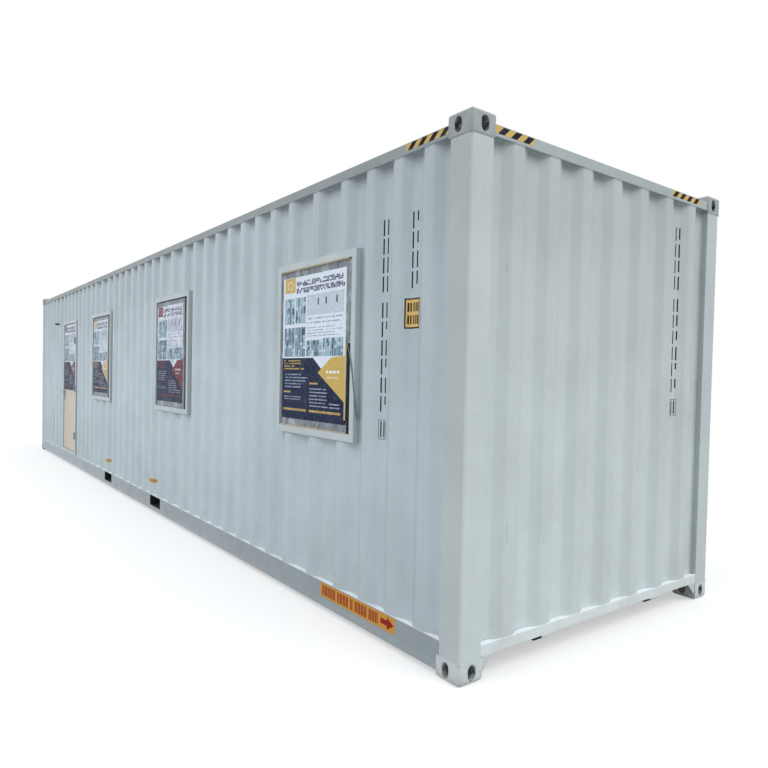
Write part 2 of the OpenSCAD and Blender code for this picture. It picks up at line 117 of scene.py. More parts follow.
def aim_camera(place, azimuth, pitch, roll, lens, shift):
    """Camera at a place, turned by compass angle, pitch and roll in degrees."""
    turn, tip, lean = (math.radians(angle) for angle in (azimuth, pitch, roll))
    ahead = Vector((-math.sin(turn) * math.cos(tip), math.cos(turn) * math.cos(tip), math.sin(tip)))
    level = Vector((math.cos(turn), math.sin(turn), 0))
    upright = level.cross(ahead)
    right = level * math.cos(lean) + upright * math.sin(lean)
    up = upright * math.cos(lean) - level * math.sin(lean)
    data = bpy.data.cameras.new("camera")
    camera = bpy.data.objects.new("camera", data)
    scene.collection.objects.link(camera)
    axes = Matrix((right, up, -ahead)).transposed()
    camera.matrix_world = Matrix.Translation(place) @ axes.to_4x4()
    data.sensor_width = 36
    data.lens = lens
    data.shift_x, data.shift_y = shift
    data.clip_end = 200
    scene.camera = camera


aim_camera(
    place=(8.4914, -3.3792, 1.5607),
    azimuth=50.797,
    pitch=-1.526,
    roll=1.339,
    lens=30.66,
    shift=(-0.06056, 0.01418),
)


# ---- node trees ----

class Graph:
    """One node tree, filled by calls that hand back sockets."""

    def __init__(self, tree):
        self.tree = tree

    def put(self, socket, value):
        if isinstance(value, bpy.types.NodeSocket):
            self.tree.links.new(value, socket)
        else:
            socket.default_value = value

    def node(self, kind, feeds=None, **settings):
        made = self.tree.nodes.new(kind)
        for name, value in settings.items():
            setattr(made, name, value)
        for key, value in (feeds or {}).items():
            self.put(made.inputs[key], value)
        return made

    def math(self, operation, *values, clamp=False):
        feeds = dict(enumerate(values))
        return self.node("ShaderNodeMath", feeds, operation=operation, use_clamp=clamp).outputs[0]

    plus = partialmethod(math, "ADD")
    minus = partialmethod(math, "SUBTRACT")
    times = partialmethod(math, "MULTIPLY")
    over = partialmethod(math, "DIVIDE")
    magnitude = partialmethod(math, "ABSOLUTE")
    most = partialmethod(math, "MAXIMUM")
    least = partialmethod(math, "MINIMUM")
    above = partialmethod(math, "GREATER_THAN")
    below = partialmethod(math, "LESS_THAN")

    def distance(self, across, up):
        return self.math("SQRT", self.plus(self.times(across, across), self.times(up, up)))

    def split(self, vector):
        return self.node("ShaderNodeSeparateXYZ", {0: vector}).outputs

    def join(self, x, y, z):
        return self.node("ShaderNodeCombineXYZ", {0: x, 1: y, 2: z}).outputs[0]

    def scaled(self, vector, factors):
        return self.node("ShaderNodeVectorMath", {0: vector, 1: factors}, operation="MULTIPLY").outputs[0]

    def noise(self, vector, scale, detail=2.0, roughness=0.5):
        feeds = {"Vector": vector, "Scale": scale, "Detail": detail, "Roughness": roughness}
        return self.node("ShaderNodeTexNoise", feeds).outputs[0]

    def random(self, low, high, seed, number=None):
        """A number between low and high for each point, from the seed."""
        feeds = {2: low, 3: high, "Seed": seed}
        if number:
            feeds["ID"] = number
        return self.node("FunctionNodeRandomValue", feeds, data_type="FLOAT").outputs[1]

    def step(self, value, low, high, bottom=0.0, top=1.0):
        """Smooth rise from bottom to top as the value goes from low to high."""
        feeds = {0: value, 1: low, 2: high, 3: bottom, 4: top}
        made = self.node("ShaderNodeMapRange", feeds, interpolation_type="SMOOTHSTEP")
        return made.outputs[0]

    def ramp(self, value, low, high, bottom, top):
        """Straight rise from bottom to top as the value goes from low to high."""
        return self.node("ShaderNodeMapRange", {0: value, 1: low, 2: high, 3: bottom, 4: top}).outputs[0]

    def band(self, value, low, high, soft):
        """1 between low and high, with soft edges."""
        rise = self.step(value, low - soft, low + soft)
        fall = self.step(value, high - soft, high + soft, 1.0, 0.0)
        return self.times(rise, fall)

    def blend(self, amount, first, second, how="MIX"):
        made = self.node("ShaderNodeMix", {0: amount, 6: first, 7: second}, data_type="RGBA", blend_type=how)
        return made.outputs[2]

    def crease(self, value, width):
        """1 where a noise crosses its middle, falling to 0 within a width of it."""
        return self.step(self.magnitude(self.minus(value, 0.5)), 0.0, width, 1.0, 0.0)

    def here(self):
        return self.node("GeometryNodeInputPosition").outputs[0]

    def grid(self, wide, tall, columns=2, rows=2):
        feeds = {"Size X": wide, "Size Y": tall, "Vertices X": columns, "Vertices Y": rows}
        return self.node("GeometryNodeMeshGrid", feeds).outputs[0]

    def moved(self, geometry, **places):
        return self.node("GeometryNodeSetPosition", {"Geometry": geometry, **places}).outputs[0]

    def without(self, geometry, faces):
        feeds = {"Geometry": geometry, "Selection": faces}
        return self.node("GeometryNodeDeleteGeometry", feeds, domain="FACE").outputs[0]

    def row_of_points(self, count, offset):
        return self.node("GeometryNodeMeshLine", {"Count": count, "Offset": offset}).outputs[0]

    def copies(self, points, instance, **feeds):
        """A copy of a shape on each point."""
        feeds = {"Points": points, "Instance": instance, **feeds}
        return self.node("GeometryNodeInstanceOnPoints", feeds).outputs[0]

    def bump(self, height, strength, distance, under=None):
        feeds = {"Height": height, "Strength": strength, "Distance": distance}
        if under:
            feeds["Normal"] = under
        return self.node("ShaderNodeBump", feeds).outputs[0]


def linear(red, green, blue):
    """Display colour from 0 to 255 as the linear colour that a shader takes."""
    def channel(value):
        part = value / 255
        return part / 12.92 if part <= 0.04045 else ((part + 0.055) / 1.055) ** 2.4
    return (channel(red), channel(green), channel(blue), 1.0)


def toned(colour, factor):
    """The linear colour of a display colour made lighter or darker."""
    return linear(*[min(255, part * factor) for part in colour])


def finish(name, **sockets):
    """New material: its graph, its shader and the Object coordinates."""
    material = bpy.data.materials.new(name)
    material.use_nodes = True
    graph = Graph(material.node_tree)
    shader = material.node_tree.nodes["Principled BSDF"]
    for key, value in sockets.items():
        shader.inputs[key.replace("_", " ")].default_value = value
    where = graph.node("ShaderNodeTexCoord").outputs["Object"]
    return material, graph, shader.inputs, where


def dress(graph, shader, tint, roughness, normal):
    graph.put(shader["Base Color"], tint)
    graph.put(shader["Roughness"], roughness)
    graph.put(shader["Normal"], normal)


# ---- finishes ----

def enamel(
    name,
    colour,
    mottle=0.05,
    streaks=0.05,
    foot_dirt=0.0,
    peel=0.10,
    dents=0.0,
    rust=0.0,
    rough=0.42,
    head=1.0,
    foot=1.0,
    recess=None,
    bands=(),
    drift=None,
    ledge=None,
    lip=None,
    holes=False,
):
    """Sprayed enamel on steel with faint mottling, rain streaks, dust, orange peel and soft dents.

    head and foot lighten or darken it at the top and at the ground, as painted light and shade. recess is the
    axis across the wave of a sheet, its outer plane, how much painted shade darkens the hollows at the top
    and at the ground, a negative amount lightening them as painted light, two heights with how much the
    slopes facing the front are painted paler (darker when negative) below and above them, and how much more
    at the rear; the hollows also get a painted shadow under the top rail. bands are pairs of heights and the
    painted shade and light below and above them. drift is an axis, two places on it and the painted shade and
    light at each. ledge is the height above which the paint is made pale, a painted highlight on the upward
    face, and lip the height below which it is a little paler, painted light from below. holes darkens round
    the eyes of a casting and
    inside them: rust mixed with painted shade in the bottom castings, near-black painted shade in the top
    ones.
    """
    material, graph, shader, where = finish(name)
    base = linear(*colour)
    x, y, z = graph.split(where)
    cloud = graph.noise(where, 1.7, 4, 0.6)
    fine = graph.noise(where, 26, 3, 0.6)
    tint = graph.blend(graph.step(cloud, 0.3, 0.7), base, toned(colour, 1 - mottle))
    tint = graph.blend(graph.step(fine, 0.45, 0.75, 0, 0.25), tint, toned(colour, 1.03))
    run = graph.noise(graph.scaled(where, (22, 22, 0.5)), 1.0, 3, 0.6)
    marks = graph.times(graph.step(run, 0.55, 0.78), streaks * 5)
    tint = graph.blend(marks, tint, toned(colour, 0.93))
    # Painted light and shade by height: head sets the tone at the top, foot at the ground.
    tone = graph.ramp(z, 0.2, HEIGHT, foot, head)
    if recess:
        axis, plane, hollow_shade_head, hollow_shade_foot, leaning, lean_rear = recess
        across = {"x": x, "y": graph.minus(y, MIDDLE)}[axis]
        inwards = graph.minus(plane, graph.magnitude(across))
        hollow = graph.over(inwards, WAVE_DEPTH, clamp=True)
        # Painted shade in the hollows, changing with height; a negative amount is painted light.
        hollow_shade = graph.ramp(z, 0.5, 2.5, hollow_shade_foot, hollow_shade_head)
        tone = graph.times(tone, graph.minus(1.0, graph.times(hollow, hollow_shade)))
        # Painted light and shade on the slopes of the wave, by their lean, more low down and towards the
        # rear.
        lean = graph.node("ShaderNodeAttribute", attribute_name="lean").outputs["Fac"]
        share = graph.plus(graph.step(z, *leaning), graph.step(x, 0.0, 3.0, lean_rear, 0.0))
        tone = graph.times(tone, graph.plus(1.0, graph.times(lean, share)))
        # Painted shadow in the hollows just under the top rail.
        rail_shadow = graph.times(graph.step(z, 2.69, 2.79, 0.0, 0.3), hollow)
        tone = graph.times(tone, graph.minus(1.0, rail_shadow))
    # Painted light and shade in bands of height.
    for low, high, below, above in bands:
        tone = graph.times(tone, graph.step(z, low, high, below, above))
    # Painted light and shade along an axis.
    if drift:
        axis, start, end, near, far = drift
        tone = graph.times(tone, graph.ramp({"x": x, "y": y}[axis], start, end, near, far))
    # Painted light from below on the lowest strip.
    if lip:
        tone = graph.times(tone, graph.step(z, lip - 6 * MM, lip + 6 * MM, 1.09, 1.0))
    if recess or bands or drift or lip or head != 1.0 or foot != 1.0:
        tint = graph.node("ShaderNodeVectorMath", {0: tint, "Scale": tone}, operation="SCALE").outputs[0]
    # Painted highlight: the upward face above the ledge height is made pale.
    if ledge:
        tint = graph.blend(graph.step(z, ledge - 1 * MM, ledge), tint, linear(222, 230, 234))
    if foot_dirt:
        low = graph.step(z, 0.0, 0.55, 1.0, 0.0)
        patch = graph.step(graph.noise(where, 7, 5, 0.65), 0.42, 0.66)
        amount = graph.times(graph.times(low, patch), foot_dirt)
        tint = graph.blend(amount, tint, linear(141, 134, 122))
    height = graph.noise(where, 420, 2, 0.5)
    normal = graph.bump(height, peel, 0.0006)
    if dents:
        sway = graph.noise(graph.scaled(where, (1.0, 1.0, 0.6)), 1.6, 1, 0.4)
        normal = graph.bump(sway, 1.0, dents, normal)
    roughness = graph.step(graph.noise(where, 9, 3, 0.6), 0.3, 0.7, rough - 0.05, rough + 0.09)
    if rust:
        low = graph.step(z, 0.0, 0.05, 1.0, 0.12)
        specks = graph.step(graph.noise(where, 60, 6, 0.7), 0.57, 0.68)
        amount = graph.times(graph.times(low, specks), rust, clamp=True)
        tone = graph.blend(graph.noise(where, 150, 3), linear(66, 46, 36), linear(128, 84, 54))
        tint = graph.blend(amount, tint, tone)
        roughness = graph.most(roughness, graph.times(amount, 0.85))
        normal = graph.bump(specks, 0.25 * rust, 0.0015, normal)
    # Round and inside the eyes: rust mixed with painted shade in the bottom castings, near-black painted
    # shade in the top ones.
    if holes:
        level = graph.math("PINGPONG", z, HEIGHT / 2)
        rise = graph.over(graph.magnitude(graph.minus(level, EYE_HEIGHT)), 42 * MM)
        from_side = graph.magnitude(graph.minus(y, MIDDLE))
        beside_x = graph.minus(graph.magnitude(x), HALF_LENGTH - EYE_FROM_END)
        beside_y = graph.minus(from_side, HALF_WIDTH - EYE_FROM_SIDE)
        beside = graph.least(graph.magnitude(beside_x), graph.magnitude(beside_y))
        across = graph.over(beside, 28 * MM)
        reach = graph.distance(rise, across)
        ragged = graph.plus(reach, graph.times(graph.noise(where, 45, 4, 0.7), 0.7))
        rust_and_shade = graph.blend(graph.noise(where, 90, 3), linear(44, 38, 34), linear(96, 74, 54))
        tone = graph.blend(graph.step(z, 1.0, 2.0), rust_and_shade, linear(16, 18, 20))
        tint = graph.blend(graph.step(ragged, 1.2, 1.42, 0.92, 0.0), tint, tone)
    dress(graph, shader, tint, roughness, normal)
    return material


def boarded(name, colour, board, along, rough=0.6, grain=0.12):
    """Sheet material laid in boards, with a dark joint between two."""
    material, graph, shader, where = finish(name, Roughness=rough)
    axis = dict(zip("xyz", graph.split(where)))[along]
    place = graph.math("FRACT", graph.over(axis, board))
    joint = graph.minus(1.0, graph.band(place, 0.004, 0.996, 0.002))
    stretch = [1.5 if letter == along else 14 for letter in "xyz"]
    veins = graph.noise(graph.scaled(where, stretch), 3, 5, 0.65)
    pale = linear(*colour)
    tint = graph.blend(graph.step(veins, 0.3, 0.75), pale, toned(colour, 1 - grain))
    tint = graph.blend(joint, tint, toned(colour, 0.45))
    graph.put(shader["Base Color"], tint)
    graph.put(shader["Normal"], graph.bump(graph.minus(veins, joint), 0.2, 0.001))
    return material


def grained(name, colour, rough, worn=1.7):
    """Powder coat, tape or plastic with a fine grain and slightly worn patches."""
    material, graph, shader, where = finish(name)
    wear = graph.noise(where, 35, 4, 0.6)
    tint = graph.blend(graph.step(wear, 0.5, 0.8, 0, 0.5), linear(*colour), toned(colour, worn))
    roughness = graph.step(wear, 0.3, 0.7, rough, rough + 0.15)
    dress(graph, shader, tint, roughness, graph.bump(graph.noise(where, 700, 2), 0.15, 0.0004))
    return material


def clear_pane(name):
    """Window glass with a faint green tint and a little dust."""
    material, graph, shader, where = finish(name, IOR=1.5)
    shader["Transmission Weight"].default_value = 1.0
    dust = graph.noise(where, 5, 5, 0.65)
    graph.put(shader["Base Color"], graph.blend(dust, linear(236, 243, 242), linear(214, 226, 226)))
    graph.put(shader["Roughness"], graph.step(dust, 0.4, 0.8, 0.0, 0.06))
    return material


# The two wall paints carry painted light and shade: by height, along the wall, in the hollows and on the
# slopes, and a painted shadow under the top rail.
side_paint = enamel(
    "side_paint",
    (184, 196, 203),
    foot_dirt=0.1,
    dents=0.006,
    head=0.96,
    foot=1.02,
    recess=("y", side_plane, 0.015, -0.02, (1.5, 2.5, 0.18, 0.005), 0.03),
    bands=((0.3, 1.2, 0.955, 1.035), (1.7, 2.6, 1.0, 0.965)),
    drift=("x", 3.0, 6.0, 1.02, 0.875),
)
end_paint = enamel(
    "end_paint",
    (184, 193, 193),
    foot_dirt=0.1,
    dents=0.006,
    head=0.877,
    foot=1.055,
    recess=("x", end_hi.x, -0.015, -0.065, (1.6, 2.6, -0.07, -0.03), 0.0),
    bands=((0.3, 1.0, 0.99, 1.025), (1.4, 2.5, 1.0, 0.95)),
    drift=("y", -0.5, 1.0, 1.0, 0.96),
)
shaded_side = ("y", post_lo.y + 1 * MM, post_lo.y + 4 * MM, 0.87, 1.0)
shaded_rail = ("y", post_lo.y + 1 * MM, post_lo.y + 4 * MM, 0.76, 1.0)
# Painted light and shade: darker at the top, lighter at the ground, darker on the side faces.
frame_paint = enamel(
    "frame_paint", (184, 193, 195), foot_dirt=0.15, rust=0.1, head=0.94, foot=1.08, drift=shaded_side
)
# Darker copy of the frame paint for the far side's posts: painted shade.
far_post_paint = enamel("far_post_paint", (176, 185, 187), foot_dirt=0.15, rust=0.1, head=0.93, foot=1.05)
# Darker copy of the frame paint for the top rails: painted shade at the top, darker still on the side faces.
top_rail_paint = enamel("top_rail_paint", (157, 167, 170), streaks=0.1, drift=shaded_rail)
# Painted light and shade: lighter towards the rear, a painted highlight on the top face and painted light
# from below on the lip.
rail_paint = enamel(
    "rail_paint",
    (150, 162, 169),
    foot_dirt=0.25,
    rust=0.1,
    drift=("x", -5.0, 6.0, 1.13, 0.84),
    ledge=sill_hi.z - 1 * MM,
    lip=side_lo.z - 115 * MM,
)
# Lighter copy of the frame paint for the end rails: painted light, with painted shade below the rail and a
# painted highlight on its top face.
end_sill_paint = enamel(
    "end_sill_paint",
    (205, 213, 214),
    foot_dirt=0.15,
    rust=0.1,
    bands=((end_rail_hi.z - 64 * MM, end_rail_hi.z - 60 * MM, 0.8, 1.0),),
    ledge=end_rail_hi.z - 1 * MM,
)
# Painted shade and light: the top castings much darker, the bottom ones lighter.
casting_paint = enamel(
    "casting_paint",
    (172, 179, 181),
    foot_dirt=0.35,
    rust=0.9,
    peel=0.35,
    rough=0.45,
    head=0.71,
    foot=1.24,
    holes=True,
)
roof_paint = enamel("roof_paint", (176, 188, 195), mottle=0.1, streaks=0.1, dents=0.006)
surround_paint = enamel("surround_paint", (185, 195, 198), streaks=0.08, dents=0.002)
underside_steel = enamel("underside_steel", (74, 76, 78), mottle=0.2, foot_dirt=0.5, rust=0.6, rough=0.6)
sash_frame = enamel("sash_frame", (158, 168, 176), rough=0.4)
door_skin = enamel("door_skin", (202, 192, 178), streaks=0.03, dents=0.002, rough=0.5)
floor_board = boarded("floor_board", (150, 124, 92), 1.2, "x", grain=0.25)
lining_panel = boarded("lining_panel", (221, 219, 211), 1.19, "x", grain=0.03)
black_metal = grained("black_metal", (36, 37, 40), 0.35)
dark_plastic = grained("dark_plastic", (33, 34, 37), 0.5)
clear_glass = clear_pane("clear_glass")
hinge_steel = enamel("hinge_steel", (150, 160, 166), streaks=0.1, rust=0.2)
weld_paint = enamel("weld_paint", (178, 188, 191), mottle=0.1, peel=0.4)


def printed(name, rough, fade, creases):
    """Ink on a plastic sheet or label, a little faded, with soft creases, most of them towards the rear,
    their dark veins and wrinkles painted shade in the folds.
    """
    material, graph, shader, where = finish(name)
    ink = graph.node("ShaderNodeAttribute", attribute_name="ink").outputs["Color"]
    cloud = graph.noise(where, 9, 5, 0.7)
    folds = graph.noise(graph.scaled(where, (1, 1, 0.6)), 11, 4, 0.8)
    x, _, z = graph.split(where)
    strength = graph.step(x, 1.9, 4.2, creases, 0.6 * creases)
    veins = graph.times(graph.crease(folds, 0.014), strength)
    fine = graph.noise(graph.scaled(where, (1, 1, 0.75)), 24, 4, 0.75)
    scuffs = graph.times(graph.crease(fine, 0.018), strength)
    tint = graph.blend(graph.step(cloud, 0.5, 0.8, 0, fade), ink, linear(150, 162, 176))
    tint = graph.blend(scuffs, tint, linear(134, 144, 160))
    # Painted shade in the creases.
    tint = graph.blend(veins, tint, linear(96, 106, 120))
    crumple = graph.noise(graph.scaled(where, (1, 1, 0.55)), 9, 4, 0.8)
    # Painted shade in the wrinkles, darker low down.
    wrinkle_shade = graph.times(graph.crease(crumple, 0.05), graph.step(x, 1.9, 4.0, creases, 0.0))
    shade = graph.blend(graph.step(z, 1.6, 1.75), linear(56, 68, 88), linear(104, 116, 127))
    tint = graph.blend(wrinkle_shade, tint, shade)
    roughness = graph.step(cloud, 0.3, 0.7, rough, rough + 0.15)
    dress(graph, shader, tint, roughness, graph.bump(folds, 0.5 * creases, 0.01))
    shader["Specular IOR Level"].default_value = 0.06
    return material


def plastic_film(name, colour, dark, pale):
    """Grey protective film with crumples, its folds painted darker and lighter as painted shade and painted
    highlights.
    """
    material, graph, shader, where = finish(name)
    folds = graph.noise(graph.scaled(where, (1, 1, 0.7)), 19, 5, 0.75)
    broad = graph.noise(where, 6, 3, 0.6)
    # Painted shade in the low folds, painted highlights on the high ones.
    tint = graph.blend(graph.step(folds, 0.36, 0.5, 0.8, 0), linear(*colour), linear(*dark))
    tint = graph.blend(graph.step(graph.plus(folds, broad), 1.02, 1.25, 0, 0.8), tint, linear(*pale))
    roughness = graph.step(broad, 0.3, 0.7, 0.22, 0.45)
    dress(graph, shader, tint, roughness, graph.bump(folds, 0.9, 0.008))
    return material


printed_sheet = printed("printed_sheet", 0.35, 0.15, 0.45)
label_print = printed("label_print", 0.5, 0.1, 0.05)
protective_film = plastic_film("protective_film", (112, 122, 131), (62, 70, 80), (170, 180, 190))
kraft_tape = grained("kraft_tape", (192, 174, 142), 0.6, 1.15)
pocket_shade = enamel("pocket_shade", (24, 26, 29), rough=0.7, rust=0.3)
sealant = enamel("sealant", (168, 178, 182), mottle=0.1, rough=0.6)

finishes = {
    "casting_paint": casting_paint,
    "frame_paint": frame_paint,
    "side_paint": side_paint,
    "end_paint": end_paint,
    "roof_paint": roof_paint,
    "floor_board": floor_board,
    "underside_steel": underside_steel,
    "lining_panel": lining_panel,
    "surround_paint": surround_paint,
    "sash_frame": sash_frame,
    "clear_glass": clear_glass,
    "printed_sheet": printed_sheet,
    "door_skin": door_skin,
    "black_metal": black_metal,
    "dark_plastic": dark_plastic,
}
for node in nodes.values():
    for material_slot in node.material_slots:
        material_slot.material = finishes[material_slot.material.name]

nodes["fork_pockets"].material_slots[0].material = pocket_shade

door_nodes = {"door_leaf", "door_poster", "door_handle", "leaf_hinges"}


# ---- making pieces ----

def new_piece(name, mesh, material=None):
    piece = bpy.data.objects.new(name, mesh)
    scene.collection.objects.link(piece)
    if material:
        mesh.materials.clear()
        mesh.materials.append(material)
    return piece


def freeze(piece):
    """Turns what the modifiers make into the piece's own plain mesh."""
    depsgraph = bpy.context.evaluated_depsgraph_get()
    plain = bpy.data.meshes.new_from_object(piece.evaluated_get(depsgraph))
    piece.modifiers.clear()
    piece.data = plain


def settle(piece, body="cabin", stands_for=()):
    """Gives a finished piece its body and hides the CAD nodes that it stands for."""
    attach(piece, body)
    if stands_for:
        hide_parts(*stands_for)


def door_side_at(y):
    return Matrix.Translation((0, y, 0))


def far_side_at(y):
    return Matrix.Translation((0, y, 0)) @ Matrix.Diagonal((1, -1, 1, 1))


def end_at(sign, x):
    return Matrix.Translation((sign * x, MIDDLE, 0)) @ Matrix.Rotation(math.radians(90 * sign), 4, "Z")


def place_mesh(mesh, matrix):
    """Moves a mesh to its place, turning its faces back if the move mirrors it."""
    mesh.transform(matrix)
    if matrix.determinant() < 0:
        mesh.flip_normals()


def mesh_from(work, name):
    """New mesh of what a bmesh holds, which is then freed."""
    mesh = bpy.data.meshes.new(name)
    work.to_mesh(mesh)
    work.free()
    return mesh


def round_edges(piece, width, segments, degrees=None):
    """Rounds the edges over 30 degrees, or over the given angle, then with the flat faces kept flat."""
    edge = piece.modifiers.new("edges", "BEVEL")
    edge.width = width
    edge.segments = segments
    if degrees:
        edge.limit_method = "ANGLE"
        edge.angle_limit = math.radians(degrees)
        piece.modifiers.new("shading", "WEIGHTED_NORMAL").keep_sharp = True
    freeze(piece)


def smooth_over(mesh, degrees):
    mesh.polygons.foreach_set("use_smooth", [True] * len(mesh.polygons))
    mesh.set_sharp_from_angle(angle=math.radians(degrees))


def geometry_tree(name, sizes, reshapes=False):
    """Empty geometry tree with one number input for each size, and its group input sockets."""
    tree = bpy.data.node_groups.new(name, "GeometryNodeTree")
    if reshapes:
        tree.interface.new_socket("Shape", in_out="INPUT", socket_type="NodeSocketGeometry")
    for label, value in sizes.items():
        kind = "NodeSocketInt" if isinstance(value, int) else "NodeSocketFloat"
        tree.interface.new_socket(label, in_out="INPUT", socket_type=kind)
    tree.interface.new_socket("Material", in_out="INPUT", socket_type="NodeSocketMaterial")
    tree.interface.new_socket("Geometry", in_out="OUTPUT", socket_type="NodeSocketGeometry")
    graph = Graph(tree)
    return graph, graph.node("NodeGroupInput").outputs


def close_tree(graph, geometry, material):
    """Ends a tree with its instances realized and its material set."""
    real = graph.node("GeometryNodeRealizeInstances", {0: geometry}).outputs[0]
    done = graph.node("GeometryNodeSetMaterial", {"Geometry": real, "Material": material}).outputs[0]
    graph.put(graph.node("NodeGroupOutput").inputs[0], done)
    return graph.tree


def grow(name, tree, sizes, material, thickness=0.0, shape=None):
    """Gives the piece that a geometry tree makes with these sizes, on a shape if it takes one."""
    piece = new_piece(name, shape or bpy.data.meshes.new(name))
    build = piece.modifiers.new("build", "NODES")
    build.node_group = tree
    for item in tree.interface.items_tree:
        if item.in_out == "INPUT" and item.name != "Shape":
            build[item.identifier] = material if item.name == "Material" else sizes[item.name]
    if thickness:
        wall = piece.modifiers.new("thickness", "SOLIDIFY")
        wall.thickness = thickness
        wall.offset = -1
    freeze(piece)
    return piece


# ---- corrugated sheets ----

SIDE_WAVE = {
    "Depth": WAVE_DEPTH,
    "Flat": WAVE_FLAT,
    "Run": WAVE_RUN,
    "Seam": SEAM,
    "Panel": PANEL,
    "Seam Pitch": SEAM_PITCH,
    "Near Pitch": NEAR_PITCH,
    "Pitch": WAVE_PITCH,
    "Bend": WAVE_BEND,
}
END_WAVE = {
    **SIDE_WAVE,
    "Run": END_RUN,
    "Seam": 0.0,
    "Panel": 10 * END_PITCH,
    "Seam Pitch": END_PITCH,
    "Near Pitch": END_PITCH,
    "Pitch": END_PITCH,
}
ROOF_WAVE = {
    "Depth": ROOF_DEPTH,
    "Flat": 91 * MM,
    "Run": 20 * MM,
    "Seam": 0.0,
    "Panel": 56 * ROOF_PITCH,
    "Seam Pitch": ROOF_PITCH,
    "Near Pitch": ROOF_PITCH,
    "Pitch": ROOF_PITCH,
    "Bend": 0.5,
    "Fade": 90 * MM,
}
FLAT = {**SIDE_WAVE, "Depth": 0.0}
SHEET_SIZES = {
    **SIDE_WAVE,
    "Start": 0.0,
    "Length": 1.0,
    "Bottom": 0.0,
    "Height": 1.0,
    "Fade": 0.0,
    "Opening": 0.0,
    "Opening Width": 0.0,
    "Opening Bottom": 0.0,
    "Opening Top": 0.0,
    "First Opening": 0.0,
    "Door Start": 0.0,
    "Door Width": 0.0,
    "Door Top": 0.0,
    "Columns": 2,
    "Rows": 2,
}


def wave(graph, size, along):
    """Depth of the corrugation at a distance along the sheet."""
    half_panel = graph.times(size["Panel"], 0.5)
    from_seam = graph.math("PINGPONG", graph.minus(along, size["Seam"]), half_panel)
    second = graph.minus(from_seam, size["Seam Pitch"])
    plain = graph.minus(second, size["Near Pitch"])
    in_first = graph.least(from_seam, graph.times(second, -1.0))
    in_second = graph.least(second, graph.times(plain, -1.0))
    waves = graph.math("PINGPONG", plain, graph.times(size["Pitch"], 0.5))
    in_plain = graph.times(waves, graph.above(plain, 0.0))
    off_flat = graph.most(graph.most(in_first, in_second), in_plain)
    slope = graph.minus(off_flat, graph.times(size["Flat"], 0.5))
    slope = graph.over(slope, size["Run"])
    rounded = graph.math("SMOOTH_MAX", graph.math("SMOOTH_MIN", slope, 1.0, size["Bend"]), 0.0, size["Bend"])
    return graph.times(rounded, size["Depth"])


def sheet_tree():
    """Corrugated sheet in the XZ plane with its recesses towards +Y and its openings left out."""
    graph, size = geometry_tree("corrugated_sheet", SHEET_SIZES)
    flat = graph.grid(size["Length"], size["Height"], size["Columns"], size["Rows"])
    gx, gy, _ = graph.split(graph.here())
    along = graph.plus(graph.plus(gx, graph.times(size["Length"], 0.5)), size["Start"])
    up = graph.plus(graph.plus(gy, graph.times(size["Height"], 0.5)), size["Bottom"])
    rounded = wave(graph, size, along)
    edge = graph.least(graph.minus(up, size["Bottom"]),
                      graph.minus(graph.plus(size["Bottom"], size["Height"]), up))
    fade = graph.over(edge, graph.most(size["Fade"], 0.00001), clamp=True)
    fade = graph.most(fade, graph.below(size["Fade"], 0.0001))
    depth = graph.times(rounded, fade)
    before, after = (wave(graph, size, graph.plus(along, step)) for step in (-2 * MM, 2 * MM))
    lean = graph.over(graph.minus(after, before), 4 * MM)
    feeds = {"Geometry": flat, "Name": "lean", "Value": lean}
    kept = graph.node("GeometryNodeStoreNamedAttribute", feeds, data_type="FLOAT").outputs[0]
    shaped = graph.moved(kept, Position=graph.join(along, depth, up))
    px, _, pz = graph.split(graph.here())
    half_panel = graph.times(size["Panel"], 0.5)
    from_window = graph.math("PINGPONG", graph.minus(px, size["Opening"]), half_panel)
    beside = graph.below(from_window, graph.times(size["Opening Width"], 0.5))
    tall = graph.times(graph.above(pz, size["Opening Bottom"]),
                      graph.below(pz, size["Opening Top"]))
    beyond = graph.above(px, size["First Opening"])
    window = graph.times(graph.times(beside, tall), beyond)
    door_end = graph.plus(size["Door Start"], size["Door Width"])
    door = graph.times(graph.above(px, size["Door Start"]), graph.below(px, door_end))
    door = graph.times(door, graph.below(pz, size["Door Top"]))
    away = graph.above(graph.plus(window, door), 0.5)
    return close_tree(graph, graph.without(shaped, away), size["Material"])


corrugated = sheet_tree()


def lay_sheet(
    name, length, bottom, height, step, rows, pressing, paint, matrix, stands_for, openings=()
):
    """Corrugated sheet either side of its middle, with a column of faces every step, put in its place."""
    sizes = {
        **SHEET_SIZES,
        **pressing,
        "Start": -length / 2,
        "Length": length,
        "Bottom": bottom,
        "Height": height,
        "Columns": int(length / step) + 1,
        "Rows": rows,
        **dict(openings),
    }
    piece = grow(name, corrugated, sizes, paint, SHEET_THICKNESS)
    place_mesh(piece.data, matrix)
    smooth_over(piece.data, 50)
    settle(piece, stands_for=stands_for)


WINDOWS = {
    "Opening": SEAM,
    "Opening Width": WINDOW_WIDTH - 40 * MM,
    "Opening Bottom": surround_lo.z,
    "Opening Top": surround_hi.z,
    "First Opening": window_xs[0] - WINDOW_WIDTH,
}
DOORWAY = {
    "Door Start": door_lo.x + 20 * MM,
    "Door Width": door_hi.x - door_lo.x - 40 * MM,
    "Door Top": door_hi.z,
}
door_side_sheets = ("wall_sheet_windows", "wall_sheet_rear", "wall_sheet_over_door")
for side, lo, hi, matrix, stands_for, openings in (
    ("door_side", side_lo, side_hi, door_side_at(side_lo.y), door_side_sheets, {**WINDOWS, **DOORWAY}),
    ("far_side", far_lo, far_hi, far_side_at(far_hi.y), ("wall_sheet_far_side",), WINDOWS),
):
    lay_sheet("side_wall_" + side, 2 * post_lo.x, lo.z, hi.z - lo.z, 9 * MM, 17, SIDE_WAVE,
              side_paint, matrix, stands_for, openings)
